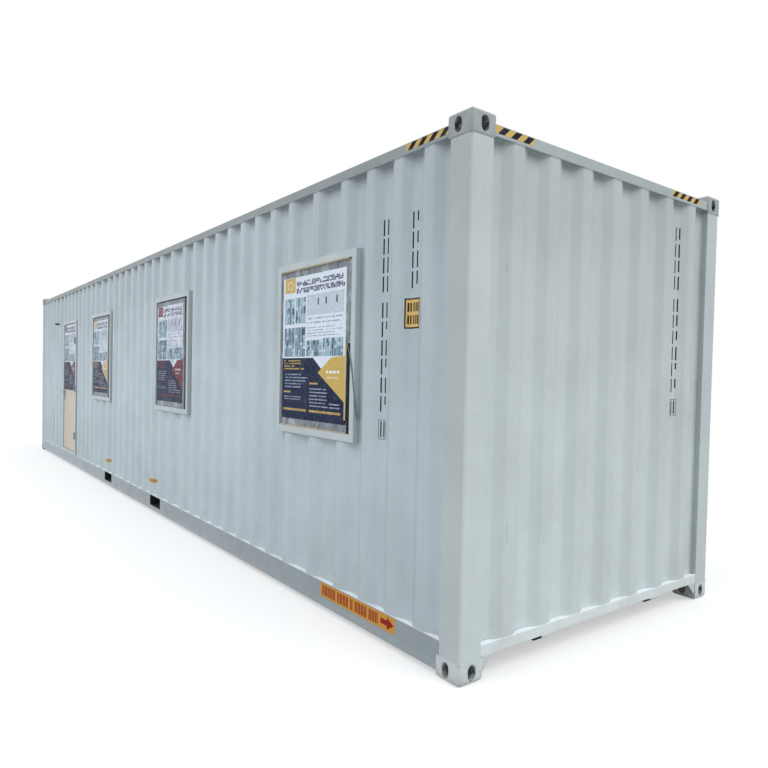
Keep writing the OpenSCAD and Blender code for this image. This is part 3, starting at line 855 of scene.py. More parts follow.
for end, sign in (("front", 1), ("rear", -1)):
    lay_sheet("end_wall_" + end, end_hi.y - end_lo.y, end_lo.z, end_hi.z - end_lo.z, 8 * MM, 17, END_WAVE,
              end_paint, end_at(sign, end_hi.x), ("end_sheet_" + end,))

roof_width = roof_hi.y - roof_lo.y
level = Matrix(((1, 0, 0, 0), (0, 0, 1, MIDDLE), (0, -1, 0, roof_hi.z), (0, 0, 0, 1)))
lay_sheet("roof_panel", roof_hi.x - roof_lo.x, -roof_width / 2, roof_width, 8 * MM, 29, ROOF_WAVE,
          roof_paint, level, ("roof_sheet",))


# ---- frame with rounded edges ----

def soften(node, width, material=None):
    """A copy of a CAD node with its edges rounded, which stands for it."""
    source = nodes[node]
    slot = {value: key for key, value in finishes.items()}[source.material_slots[0].material]
    mesh = source.data.copy()
    work = bmesh.new()
    work.from_mesh(mesh)
    bmesh.ops.remove_doubles(work, verts=work.verts, dist=0.00002)
    bmesh.ops.dissolve_limit(work, angle_limit=math.radians(0.5), verts=work.verts, edges=work.edges)
    work.to_mesh(mesh)
    work.free()
    mesh.polygons.foreach_set("use_smooth", [True] * len(mesh.polygons))
    piece = new_piece(node + "_finished", mesh, material or finishes[slot])
    round_edges(piece, width, 3, 32)
    settle(piece, "door" if node in door_nodes else "cabin", (node,))


for node in ("top_side_rail_door_side", "top_side_rail_far_side", "top_end_rail_front", "top_end_rail_rear"):
    soften(node, 5 * MM, top_rail_paint)
for end in ("front", "rear"):
    soften("bottom_end_rail_" + end, 3 * MM, end_sill_paint)
    for side in ("door_side", "far_side"):
        soften("corner_post_" + end + "_" + side, 3 * MM, far_post_paint if side == "far_side" else None)
for side in ("door_side", "far_side"):
    soften("bottom_side_rail_" + side, 2 * MM, rail_paint)
for node in ("window_surrounds", "far_window_surrounds", "door_frame"):
    soften(node, 1.4 * MM)
for node in ("window_sashes", "far_window_sashes"):
    soften(node, 3 * MM)
soften("door_leaf", 2 * MM)
soften("door_handle", 2 * MM, hinge_steel)
for node in ("leaf_hinges", "frame_hinges"):
    soften(node, 1.5 * MM, hinge_steel)
soften("cable_inlet", 1 * MM, dark_plastic)


# ---- castings ----

def box_mesh(work, lo, hi):
    """Adds a box to a bmesh and gives its vertices."""
    made = bmesh.ops.create_cube(work, size=1)["verts"]
    for vertex in made:
        vertex.co = Vector([lo[i] + (vertex.co[i] + 0.5) * (hi[i] - lo[i]) for i in range(3)])
    return made


def cutter(name, fill):
    work = bmesh.new()
    fill(work)
    bmesh.ops.recalc_face_normals(work, faces=work.faces)
    return new_piece(name, mesh_from(work, name))


def slot_hole(work, centre, axis, length, radius, depth):
    """Adds an obround bar along an axis, its long side upright or along X."""
    around = 32
    loop = []
    for k in range(around):
        angle = 2 * math.pi * (k + 0.5) / around
        u, v = radius * math.cos(angle), radius * math.sin(angle)
        v += math.copysign(length / 2 - radius, v)
        loop.append({"x": (0, u, v), "y": (u, 0, v), "z": (v, u, 0)}[axis])
    ahead = {"x": Vector((1, 0, 0)), "y": Vector((0, 1, 0)), "z": Vector((0, 0, 1))}[axis] * depth / 2
    near = [work.verts.new(Vector(centre) + Vector(p) - ahead) for p in loop]
    far = [work.verts.new(Vector(centre) + Vector(p) + ahead) for p in loop]
    work.faces.new(near)
    work.faces.new(list(reversed(far)))
    for k in range(around):
        n = (k + 1) % around
        work.faces.new((near[k], far[k], far[n], near[n]))


def casting_mesh(rounding):
    """Corner casting at the front bottom corner on the far side, its outer edges rounded."""
    lo = Vector((casting_lo.x, casting_hi.y - CASTING_WIDTH, casting_lo.z))
    hi = Vector(casting_hi)
    work = bmesh.new()
    box_mesh(work, lo, hi)

    def outer(edge):
        low = all(abs(v.co.z - lo.z) < 1e-5 for v in edge.verts)
        corner = all(abs(v.co.x - hi.x) < 1e-5 and abs(v.co.y - hi.y) < 1e-5 for v in edge.verts)
        return low or corner

    bmesh.ops.bevel(
        work,
        geom=[e for e in work.edges if outer(e)],
        offset=rounding,
        segments=6,
        profile=0.5,
        affect="EDGES",
    )
    block = new_piece("casting", mesh_from(work, "casting"))
    outer_wall, inner_wall = 28 * MM, 14 * MM
    slot_x, slot_y = hi.x - EYE_FROM_END, hi.y - EYE_FROM_SIDE

    def hollow(work):
        inner_corner = lo + Vector((inner_wall, inner_wall, outer_wall))
        box_mesh(work, inner_corner, hi - Vector((outer_wall, outer_wall, inner_wall)))

    cutters = [cutter("hollow", hollow)]
    for name, centre, axis, length, radius in (
        ("lock_hole", (slot_x, slot_y, 0), "z", 124 * MM, 31.75 * MM),
        ("side_hole", (slot_x, hi.y, EYE_HEIGHT), "y", 79.5 * MM, 25.5 * MM),
        ("end_hole", (hi.x, slot_y, EYE_HEIGHT), "x", 79.5 * MM, 25.5 * MM),
    ):
        cutters.append(cutter(name, lambda work: slot_hole(work, centre, axis, length, radius, 90 * MM)))
    for tool in cutters:
        cut = block.modifiers.new("cut", "BOOLEAN")
        cut.object = tool
        cut.solver = "EXACT"
    round_edges(block, 4 * MM, 3, 45)
    for tool in cutters:
        bpy.data.objects.remove(tool)
    mesh = block.data
    bpy.data.objects.remove(block)
    return mesh


def mirrored(mesh, flip_x, flip_y, flip_z):
    """Copy of a mesh mirrored about the middle of the container, its faces kept outwards."""
    copy = mesh.copy()
    move = Matrix.Diagonal((-1 if flip_x else 1, -1 if flip_y else 1, -1 if flip_z else 1, 1))
    shift = Matrix.Translation((0, 2 * MIDDLE if flip_y else 0, HEIGHT if flip_z else 0))
    place_mesh(copy, shift @ move)
    return copy


def joined(name, meshes, material):
    work = bmesh.new()
    for mesh in meshes:
        work.from_mesh(mesh)
    result = mesh_from(work, name)
    smooth_over(result, 35)
    return new_piece(name, result, material)


for level, flip_z, rounding in (("bottom", False, 28 * MM), ("top", True, 14 * MM)):
    casting = casting_mesh(rounding)
    for end, flip_x in (("front", False), ("rear", True)):
        pair = [mirrored(casting, flip_x, flip_y, flip_z) for flip_y in (False, True)]
        node = level + "_castings_" + end
        settle(joined(node + "_cast", pair, casting_paint), stands_for=(node,))


# ---- prints: marks, plates, labels, tapes and posters ----

LAYER = 0.12 * MM
MARK_INK = (34, 39, 44)
TAPE_YELLOW = (198, 168, 102)
PLATE_YELLOW = (212, 178, 112)
TAPE_BLACK = (30, 30, 34)
LABEL_ORANGE = (198, 143, 63)
LABEL_RED = (140, 34, 28)
POCKET_YELLOW = (198, 168, 88)


def wrapping_tree():
    """Lays a flat shape on a corrugated sheet."""
    graph, size = geometry_tree("laid_on_sheet", FLAT, reshapes=True)
    x, y, z = graph.split(graph.here())
    place = graph.join(x, graph.plus(y, wave(graph, size, x)), z)
    return close_tree(graph, graph.moved(size["Shape"], Position=place), size["Material"])


ROW_SIZES = {
    "Width": 1.0,
    "Height": 0.01,
    "Row Pitch": 0.02,
    "Rows": 2,
    "Cells": 8,
    "Fill": 0.8,
    "Ragged": 0.2,
    "Seed": 1,
}


def rows_tree():
    """Rows of small bars of uneven length, like lines of print too small to read."""
    graph, size = geometry_tree("print_rows", ROW_SIZES)
    tall = graph.times(size["Row Pitch"], graph.minus(size["Rows"], 1.0))
    points = graph.grid(size["Width"], tall, size["Cells"], size["Rows"])
    x, y, _ = graph.split(graph.here())
    row = graph.math("ROUND", graph.over(graph.plus(y, 10.0), size["Row Pitch"]))
    limit = graph.minus(0.51, graph.random(0.0, size["Ragged"], size["Seed"], row))
    inside = graph.below(graph.over(x, size["Width"]), limit)
    kept = graph.below(graph.random(0.0, 1.0, graph.plus(size["Seed"], 7)), size["Fill"])
    cell = graph.over(size["Width"], graph.minus(size["Cells"], 1.0))
    bar = graph.grid(cell, size["Height"])
    wide = graph.random(0.5, 0.96, graph.plus(size["Seed"], 13))
    bars = graph.copies(points, bar, Selection=graph.times(inside, kept), Scale=graph.join(wide, 1.0, 1.0))
    return close_tree(graph, bars, size["Material"])


STRIPE_SIZES = {"Count": 4, "Pitch": 0.09, "Width": 0.045, "Height": 0.04, "Slant": 0.03}


def stripes_tree():
    """Slanted stripes side by side, starting at the origin."""
    graph, size = geometry_tree("slanted_stripes", STRIPE_SIZES)
    line = graph.row_of_points(size["Count"], graph.join(size["Pitch"], 0.0, 0.0))
    bar = graph.grid(size["Width"], size["Height"])
    _, y, _ = graph.split(graph.here())
    lean = graph.times(graph.over(y, size["Height"]), size["Slant"])
    leaning = graph.moved(bar, Offset=graph.join(lean, 0.0, 0.0))
    return close_tree(graph, graph.copies(line, leaning), size["Material"])


MARK_SIZES = {"Count": 4, "Pitch": 0.11, "Width": 0.052, "Height": 0.097, "Stroke": 0.011, "Seed": 1}


def marks_tree():
    """A column of stencilled pairs of bars, one of each pair full, the other cut to a random length."""
    graph, size = geometry_tree("stencil_marks", MARK_SIZES)
    down = graph.times(size["Pitch"], -1.0)
    line = graph.row_of_points(size["Count"], graph.join(0.0, down, 0.0))
    bar = graph.grid(size["Stroke"], size["Height"], 3)
    aside = graph.times(graph.minus(size["Width"], size["Stroke"]), 0.5)
    spare = graph.minus(1.0, graph.random(0.4, 1.25, size["Seed"]), clamp=True)
    rise = graph.times(graph.times(spare, size["Height"]), 0.5)
    joint = graph.node("GeometryNodeJoinGeometry")
    for side in (-1, 1):
        offset = graph.join(graph.times(aside, side), rise if side == 1 else 0.0, 0.0)
        points = graph.moved(line, Offset=offset)
        tall = graph.minus(1.0, spare) if side == 1 else 1.0
        graph.put(joint.inputs[0], graph.copies(points, bar, Scale=graph.join(1.0, tall, 1.0)))
    return close_tree(graph, joint.outputs[0], size["Material"])


laid_on_sheet = wrapping_tree()
print_rows = rows_tree()
slanted_stripes = stripes_tree()
stencil_marks = marks_tree()


class Print:
    """Flat inked shapes in a wall's own plane: x along it, z up, each layer a little prouder."""

    def __init__(self):
        self.work = bmesh.new()
        self.ink = self.work.loops.layers.float_color.new("ink")

    def face(self, corners, colour, layer=1):
        made = self.work.faces.new([self.work.verts.new((x, -layer * LAYER, z)) for x, z in corners])
        for loop in made.loops:
            loop[self.ink] = linear(*colour)

    def bar(self, left, bottom, right, top, colour, layer=1, step=1.0):
        """Rectangle, cut upright every step so that it can follow a wave."""
        cuts = math.ceil((right - left) / step)
        xs = [left + (right - left) * k / cuts for k in range(cuts + 1)]
        for a, b in zip(xs, xs[1:]):
            self.face(((a, bottom), (b, bottom), (b, top), (a, top)), colour, layer)

    def outline(self, left, bottom, right, top, line, colour, layer=1, step=1.0):
        self.bar(left, bottom, right, bottom + line, colour, layer, step)
        self.bar(left, top - line, right, top, colour, layer, step)
        self.bar(left, bottom + line, left + line, top - line, colour, layer)
        self.bar(right - line, bottom + line, right, top - line, colour, layer)

    def pattern(self, tree, sizes, x, z, colour, layer=1):
        """What a tree makes in its XY plane, moved to x and z."""
        grown = grow("pattern", tree, sizes, label_print)
        points = grown.data.vertices
        for polygon in grown.data.polygons:
            self.face([(x + points[v].co.x, z + points[v].co.y) for v in polygon.vertices], colour, layer)
        bpy.data.objects.remove(grown)

    def lines(self, left, bottom, right, top, rows, cells, colour, layer, fill, ragged, seed, weight):
        """Rows of print that fill a rectangle, each as tall as its weight of the row."""
        pitch = (top - bottom) / rows
        width = (right - left) * (cells - 1) / cells
        sizes = {
            "Width": width,
            "Height": pitch * weight,
            "Row Pitch": pitch,
            "Rows": rows,
            "Cells": cells,
            "Fill": fill,
            "Ragged": ragged,
            "Seed": seed,
        }
        self.pattern(print_rows, sizes, (left + right) / 2, (bottom + top) / 2, colour, layer)

    def piece(self, name, matrix, sheet=FLAT, thickness=0.1 * MM, material=None, body="cabin", stands_for=()):
        """Finishes the print on a wall that is placed by the matrix."""
        bmesh.ops.remove_doubles(self.work, verts=self.work.verts, dist=0.00001)
        mesh = mesh_from(self.work, name)
        made = grow(name, laid_on_sheet, sheet, material or label_print, thickness, mesh)
        place_mesh(made.data, matrix)
        settle(made, body, stands_for)


MARK_STEP = 110 * MM
MARK_TALL = 92 * MM
MARK_WIDE = 52 * MM


def mark_column(sheet, x, top, count, seed):
    """Stencilled marks below each other from a top height, and the height of the next one."""
    sizes = {
        "Count": count,
        "Pitch": MARK_STEP,
        "Width": MARK_WIDE,
        "Height": MARK_TALL,
        "Stroke": 11 * MM,
        "Seed": seed,
    }
    sheet.pattern(stencil_marks, sizes, x, top - MARK_TALL / 2, MARK_INK)
    return top - count * MARK_STEP


def number_column(sheet, x, top, seed):
    """Two groups of marks and a last one in a thin box."""
    below = mark_column(sheet, x, top, 4, seed)
    below = mark_column(sheet, x, below - 44 * MM, 6, seed + 1)
    box_top = below - 30 * MM
    sheet.bar(x - 21 * MM, box_top - 103 * MM, x - 10 * MM, box_top - 10 * MM, MARK_INK)
    sheet.bar(x + 10 * MM, box_top - 103 * MM, x + 21 * MM, box_top - 10 * MM, MARK_INK)
    sheet.outline(x - 33 * MM, box_top - 115 * MM, x + 33 * MM, box_top, 2.5 * MM, MARK_INK, step=8 * MM)


def height_plate(sheet, left, bottom):
    """Yellow plate with a black border and two rows of bars."""
    right, top = left + 115 * MM, bottom + 169 * MM
    sheet.bar(left, bottom, right, top, TAPE_BLACK, 1, 8 * MM)
    sheet.bar(left + 8 * MM, bottom + 8 * MM, right - 8 * MM, top - 8 * MM, PLATE_YELLOW, 2, 8 * MM)
    for row in (0, 1):
        low = bottom + (24 + 70 * row) * MM
        for place in (17, 33, 57, 76, 92):
            sheet.bar(left + place * MM, low, left + (place + 10) * MM, low + 50 * MM, TAPE_BLACK, 4)


def side_marks(name, matrix):
    marks = Print()
    number_column(marks, 5.3275, 2.478, 3)
    mark_column(marks, 5.608, 2.478, 4, 8)
    height_plate(marks, 5.545, 1.83)
    marks.piece(name, matrix, SIDE_WAVE)


def end_marks(name, matrix):
    marks = Print()
    number_column(marks, 0.7465, 2.624, 5)
    for x, z, tall in ((-0.89, 0.69, 0.11), (-0.93, 2.12, 0.05), (-0.60, 0.64, 0.04)):
        marks.bar(x, z, x + 2.5 * MM, z + tall, (150, 158, 160))
    marks.piece(name, matrix, END_WAVE)


MARK_LIFT = 0.5 * MM
side_marks("marks_door_side", door_side_at(side_lo.y - MARK_LIFT))
side_marks("marks_far_side", far_side_at(far_hi.y + MARK_LIFT))
end_marks("marks_front_end", end_at(1, end_hi.x + MARK_LIFT))
end_marks("marks_rear_end", end_at(-1, end_hi.x + MARK_LIFT))


def hazard_tape(sheet, left, right, low, high, first, pitch, count):
    """Yellow tape with black stripes, the first of them at a place along it."""
    sheet.bar(left, low, right, high, TAPE_YELLOW, 0)
    sizes = {"Count": count, "Pitch": pitch, "Width": pitch / 2, "Height": high - low, "Slant": pitch * 0.45}
    sheet.pattern(slanted_stripes, sizes, first, (low + high) / 2, TAPE_BLACK)


def side_tape(name, matrix):
    tape = Print()
    hazard_tape(tape, 5.555, 5.912, 2.808, 2.845, 5.612, 0.091, 4)
    tape.piece(name, matrix)


TAPE_LIFT = 0.3 * MM
side_tape("hazard_tape_door_side", door_side_at(top_rail_lo.y - TAPE_LIFT))
side_tape("hazard_tape_far_side", far_side_at(2 * MIDDLE - top_rail_lo.y + TAPE_LIFT))
tape = Print()
hazard_tape(tape, -1.055, -0.76, 2.806, 2.845, -0.992, 0.093, 3)
hazard_tape(tape, 0.60, 0.958, 2.806, 2.845, 0.644, 0.087, 4)
tape.piece("hazard_tape_front_end", end_at(1, top_end_hi.x + TAPE_LIFT))


def rail_label(name, matrix):
    """Orange label with groups of bars and an arrow towards the front end."""
    label = Print()
    label.bar(4.71, 0.098, 5.55, 0.19, LABEL_ORANGE, 0)
    start = 4.735
    for count in (5, 4, 1, 4, 3):
        for _ in range(count):
            label.bar(start, 0.111, start + 11 * MM, 0.177, LABEL_RED)
            label.bar(start + 16 * MM, 0.111, start + 26 * MM, 0.177, LABEL_RED)
            start += 34 * MM
        start += 18 * MM
    label.bar(5.405, 0.128, 5.47, 0.16, LABEL_RED)
    label.face(((5.47, 0.107), (5.536, 0.144), (5.47, 0.181)), LABEL_RED)
    label.bar(0.098, 0.045, 0.108, 0.19, (104, 113, 119))
    label.piece(name, matrix)


def pocket_labels(name, matrix):
    """Small orange labels over the fork pockets."""
    labels = Print()
    for left, right in ((0.83, 1.135), (-1.19, -0.85)):
        labels.bar(left, 0.325, right, 0.368, POCKET_YELLOW, 0, 8 * MM)
        for k in range(9):
            start = left + (right - left) * (k + 0.6) / 10
            labels.bar(start, 0.334, start + 9 * MM, 0.361, LABEL_RED, 1)
    labels.piece(name, matrix, SIDE_WAVE)


rail_label("direction_label_door_side", door_side_at(sill_lo.y - TAPE_LIFT))
rail_label("direction_label_far_side", far_side_at(2 * MIDDLE - sill_lo.y + TAPE_LIFT))
pocket_labels("pocket_labels_door_side", door_side_at(side_lo.y - MARK_LIFT))
pocket_labels("pocket_labels_far_side", far_side_at(far_hi.y + MARK_LIFT))


# ---- posters ----

PAPER = (222, 230, 242)
NAVY = (17, 29, 62)
TEXT_BLUE = (54, 62, 92)
TEXT_GREY = (140, 149, 170)
TEXT_WHITE = (158, 168, 192)
PICTURE_BLUE = (164, 188, 203)
PICTURE_DARK = (104, 130, 147)
PICTURE_PALE = (196, 212, 222)
PICTURE_SHADE = (58, 74, 92)
PICTURE_GREY = (196, 204, 216)


def poster(sheet, left, bottom, width, height, accent, seed):
    """Made-up poster: heading and pictures on pale paper, a navy foot with a slanted accent."""

    def at(u, v):
        return (left + u * width, bottom + v * height)

    def block(u0, v0, u1, v1, colour, layer=1):
        sheet.bar(*at(u0, v0), *at(u1, v1), colour, layer)

    def shape(corners, colour, layer):
        sheet.face([at(u, v) for u, v in corners], colour, layer)

    def lines(u0, v0, u1, v1, rows, cells, colour, layer=2, fill=0.9, ragged=0.2, weight=0.5):
        shift = seed + int(100 * u0) + int(1000 * v0)
        sheet.lines(*at(u0, v0), *at(u1, v1), rows, cells, colour, layer, fill, ragged, shift, weight)

    def picture(u0, v0, u1, v1, across, up, ground=PICTURE_BLUE):
        block(u0, v0, u1, v1, ground)
        lines(u0, v0, u1, v1, 2, across + 2, PICTURE_DARK, 2, 0.45, 0.0, 1.0)
        lines(u0, v0, u1, v1, up, across, PICTURE_PALE, 3, 0.3, 0.0, 0.8)
        lines(u0, v0, u1, v1, 3, across * 3, PICTURE_SHADE, 4, 0.2, 0.0, 0.7)

    block(0, 0, 1, 1, PAPER, 0)
    block(0.03, 0.895, 0.21, 0.997, accent)
    pale = [(c + 235) / 2 for c in accent]
    angles = [k * math.pi / 8 for k in range(16)]
    ring = [(0.12 + 0.055 * math.cos(a), 0.946 + 0.034 * math.sin(a)) for a in angles]
    hole = [(0.12 + (u - 0.12) * 0.6, 0.946 + (v - 0.946) * 0.6) for u, v in ring]
    shape(ring, pale, 2)
    shape(hole, accent, 3)
    lines(0.23, 0.93, 0.98, 0.968, 3, 30, TEXT_BLUE, 2, 0.78, 0.03, 0.9)
    lines(0.23, 0.882, 0.98, 0.919, 3, 32, TEXT_BLUE, 2, 0.78, 0.03, 0.9)
    picture(0.03, 0.67, 0.20, 0.853, 4, 9)
    picture(0.22, 0.67, 0.39, 0.853, 3, 6)
    block(0.41, 0.72, 0.97, 0.86, PICTURE_GREY)
    for u in (0.58, 0.70, 0.86):
        block(u, 0.785, u + 0.018, 0.832, (70, 76, 90), 2)
    lines(0.43, 0.73, 0.95, 0.855, 4, 9, PICTURE_PALE, 2, 0.4, 0.0, 0.8)
    lines(0.41, 0.655, 0.97, 0.712, 2, 30, TEXT_GREY, 1, 0.8, 0.1, 0.35)
    lines(0.41, 0.57, 0.97, 0.645, 4, 34, TEXT_GREY, 1, 0.75, 0.4, 0.35)
    picture(0.03, 0.44, 0.205, 0.645, 5, 7, (136, 160, 176))
    picture(0.215, 0.44, 0.39, 0.645, 4, 8, (136, 160, 176))
    picture(0.41, 0.44, 0.66, 0.55, 6, 5)
    picture(0.67, 0.44, 0.97, 0.56, 7, 5)
    shape(((0, 0), (1, 0), (1, 0.156), (0.52, 0.43), (0, 0.43)), NAVY, 1)
    shape(((0.60, 0.33), (1, 0.14), (1, 0.44), (0.80, 0.43)), accent, 2)
    lines(0.72, 0.318, 0.93, 0.352, 1, 4, (240, 240, 240), 3, 1.0, 0.0)
    lines(0.74, 0.29, 0.90, 0.305, 1, 5, (240, 236, 220), 3, 1.0, 0.0)
    lines(0.03, 0.345, 0.40, 0.42, 4, 14, accent, 2, 0.9, 0.5)
    lines(0.05, 0.215, 0.45, 0.325, 5, 26, TEXT_WHITE, 2, 0.9, 0.35, 0.4)
    lines(0.03, 0.178, 0.15, 0.202, 1, 6, accent, 2, 1.0, 0.0)
    lines(0.03, 0.13, 0.45, 0.165, 2, 26, TEXT_WHITE, 2, 0.9, 0.3, 0.4)
    lines(0.47, 0.243, 0.60, 0.267, 1, 6, accent, 2, 1.0, 0.0)
    lines(0.47, 0.09, 0.78, 0.23, 6, 20, TEXT_WHITE, 2, 0.95, 0.2, 0.38)
    lines(0.78, 0.09, 0.95, 0.135, 2, 10, TEXT_WHITE, 2, 0.9, 0.2, 0.38)
    lines(0.03, 0.05, 0.42, 0.082, 1, 18, accent, 2, 1.0, 0.0)
    lines(0.47, 0.05, 0.95, 0.082, 1, 22, accent, 2, 1.0, 0.0)


accents = [(214, 188, 140), (122, 46, 54), (204, 174, 96)]
sheets = Print()
POSTER_ASIDE = -25 * MM  # middle of a full poster from the middle of its window
NARROWER = 52 * MM  # how much narrower the posters of the two rear windows are
full_width = 2 * (poster_hi.x - (window_xs[2] + POSTER_ASIDE))
poster_left = POSTER_ASIDE - full_width / 2
poster_widths = [full_width - NARROWER, full_width - NARROWER, full_width]
for number, (window_x, width, accent) in enumerate(zip(window_xs, poster_widths, accents)):
    left = window_x + poster_left
    poster(sheets, left, poster_lo.z, width, poster_hi.z - poster_lo.z, accent, 20 * number)
sheets.piece(
    "window_posters_printed",
    door_side_at(poster_lo.y),
    thickness=1.3 * MM,
    material=printed_sheet,
    stands_for=("window_posters",),
)
door_sheet_lo, door_sheet_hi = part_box("door_poster")
sheets = Print()
poster(
    sheets,
    door_sheet_lo.x,
    door_sheet_lo.z,
    door_sheet_hi.x - door_sheet_lo.x,
    door_sheet_hi.z - door_sheet_lo.z,
    (118, 82, 88),
    90,
)
sheets.piece(
    "door_poster_printed",
    door_side_at(door_sheet_lo.y),
    thickness=1.3 * MM,
    material=printed_sheet,
    body="door",
    stands_for=("door_poster",),
)


# ---- protective film round the posters ----

FILM_WIDTH = 947 * MM
TORN_LEFT, TORN_FOOT = 386 * MM, -497 * MM  # inner and lower end of the tear, from the film's middle
NO_TEAR = -1.0
FILM_SIZES = {
    "Width": FILM_WIDTH,
    "Height": 1.08,
    "Hole Width": 0.8,
    "Hole Height": 0.9,
    "Hole Shift": 0.0,
    "Crumple": 0.002,
    "Tear": NO_TEAR,
    "Seed": 1,
}


def film_tree():
    """Crumpled sheet in the XZ plane with a hole for the poster and its lower right part torn off."""
    graph, size = geometry_tree("crumpled_film", FILM_SIZES)
    flat = graph.grid(size["Width"], size["Height"], 95, 109)
    x, y, _ = graph.split(graph.here())
    across = graph.magnitude(graph.minus(x, size["Hole Shift"]))
    in_width = graph.below(across, graph.times(size["Hole Width"], 0.5))
    in_height = graph.below(graph.magnitude(y), graph.times(size["Hole Height"], 0.5))
    ragged = graph.plus(y, graph.random(-0.01, 0.01, size["Seed"]))
    low = graph.times(graph.below(ragged, size["Tear"]), graph.above(y, TORN_FOOT))
    torn = graph.times(low, graph.above(x, TORN_LEFT))
    away = graph.above(graph.plus(graph.times(in_width, in_height), torn), 0.5)
    ring = graph.without(flat, away)
    px, py, _ = graph.split(graph.here())
    folds = graph.noise(graph.join(px, py, graph.times(size["Seed"], 3.1)), 22, 4, 0.7)
    lift = graph.times(folds, size["Crumple"])
    place = graph.join(px, graph.times(lift, -1.0), py)
    return close_tree(graph, graph.moved(ring, Position=place), size["Material"])


crumpled_film = film_tree()
sash_height = sash_hi.z - sash_lo.z
for number, window_x in enumerate(window_xs):
    sizes = {
        "Width": FILM_WIDTH,
        "Height": sash_height - 8 * MM,
        "Hole Width": poster_widths[number] - 20 * MM,
        "Hole Height": poster_hi.z - poster_lo.z - 20 * MM,
        "Hole Shift": poster_left + poster_widths[number] / 2,
        "Crumple": 1.6 * MM,
        "Tear": 0.03 if number == 2 else NO_TEAR,
        "Seed": number,
    }
    film = grow(f"protective_film_{number + 1}", crumpled_film, sizes, protective_film, 0.1 * MM)
    film.data.transform(Matrix.Translation((window_x, sash_lo.y - 0.2 * MM, (sash_lo.z + sash_hi.z) / 2)))
    smooth_over(film.data, 60)
    settle(film)


# ---- kraft tape, painted shadow at the sashes and small blocks ----

def slab(name, boxes, bevel, material):
    """Boxes with softened edges as one piece."""
    work = bmesh.new()
    for lo, hi in boxes:
        box_mesh(work, lo, hi)
    piece = new_piece(name, mesh_from(work, name), material)
    round_edges(piece, bevel, 2)
    smooth_over(piece.data, 35)
    settle(piece)


first_x = window_xs[2]
TORN_TOP = 1.763  # about the height up to which the film of the first window is torn off
SHADOW_END = 476 * MM  # outer end of the painted shadow beside the sashes, from the middle of a window
DEEP_SHADOW_TOP = 2.15  # height above which the painted shadow beside the rear windows' sashes is darker
reveal_front, reveal_back = surround_lo.y + 1 * MM, sash_lo.y
slab(
    "kraft_tape_strips",
    [
        ((first_x - 0.472, reveal_front, sash_hi.z - 5 * MM), (first_x + 0.446, reveal_back, sash_hi.z)),
        ((first_x - 0.466, reveal_front, sash_lo.z), (first_x + 0.436, reveal_back, sash_lo.z + 5 * MM)),
        ((first_x + 0.404, sash_lo.y - 5 * MM, sash_lo.z + 80 * MM), (first_x + 0.421, sash_lo.y, TORN_TOP)),
    ],
    1 * MM,
    kraft_tape,
)
# Dark strips at the sash plane beside and above the posters: painted shadow in the window reveals.
sash_shadows = Print()
shadow_foot, shadow_head = sash_lo.z + 2 * MM, sash_hi.z - 2 * MM
for window_x, start in zip(window_xs, (0.385, 0.405)):
    start += window_x
    sash_shadows.bar(start, shadow_foot, window_x + SHADOW_END, DEEP_SHADOW_TOP, (62, 68, 74), 2)
    sash_shadows.bar(start, DEEP_SHADOW_TOP, window_x + SHADOW_END, shadow_head, (26, 29, 33), 2)
    sash_shadows.bar(window_x - 0.406, shadow_head - 6 * MM, start, shadow_head, (60, 65, 70), 2)
sash_shadows.bar(first_x + 0.434, shadow_foot, first_x + SHADOW_END, TORN_TOP, (30, 33, 37), 2)
sash_shadows.bar(first_x + 0.4665, TORN_TOP, first_x + SHADOW_END, shadow_head, (40, 43, 47), 2)
sash_shadows.piece("painted_shadow_at_sashes", door_side_at(sash_lo.y - 2.2 * MM), thickness=2.2 * MM)

lip_top, lip_foot = end_rail_hi.z - 59 * MM, end_rail_hi.z - 76 * MM
lip_boxes = [
    ((end_rail_hi.x - 6 * MM, MIDDLE + start, lip_foot), (end_rail_hi.x, MIDDLE + end, lip_top))
    for start, end in ((-0.59, -0.52), (0.50, 0.60))
]
slab("lips_under_front_rail", lip_boxes, 1 * MM, end_sill_paint)


# ---- weld and sealant beads ----

BEAD_SIZES = {**FLAT, "Step": 0.01, "Radius": 0.003, "Ripple": 0.2, "Ripple Length": 0.012}


def bead_tree():
    """Round bead along a path laid on a corrugated sheet, rippled like a weld."""
    graph, size = geometry_tree("bead", BEAD_SIZES, reshapes=True)
    path = graph.node("GeometryNodeMeshToCurve", {"Mesh": size["Shape"]}).outputs[0]
    feeds = {"Curve": path, "Length": size["Step"]}
    even = graph.node("GeometryNodeResampleCurve", feeds, mode="LENGTH").outputs[0]
    position = graph.here()
    x, y, z = graph.split(position)
    place = graph.join(x, graph.plus(y, wave(graph, size, x)), z)
    laid = graph.moved(even, Position=place)
    run = graph.node("GeometryNodeSplineParameter").outputs["Length"]
    ripple = graph.math("SINE", graph.times(graph.over(run, size["Ripple Length"]), 2 * math.pi))
    uneven = graph.minus(graph.noise(position, 9, 3, 0.6), 0.5)
    swell = graph.plus(graph.times(ripple, 0.5), graph.times(uneven, 2.0))
    swell = graph.plus(1.0, graph.times(swell, size["Ripple"]))
    feeds = {"Resolution": 6, "Radius": size["Radius"]}
    round_bead = graph.node("GeometryNodeCurvePrimitiveCircle", feeds).outputs[0]
    feeds = {"Curve": laid, "Profile Curve": round_bead, "Scale": swell, "Fill Caps": True}
    tube = graph.node("GeometryNodeCurveToMesh", feeds).outputs[0]
    return close_tree(graph, tube, size["Material"])


bead = bead_tree()


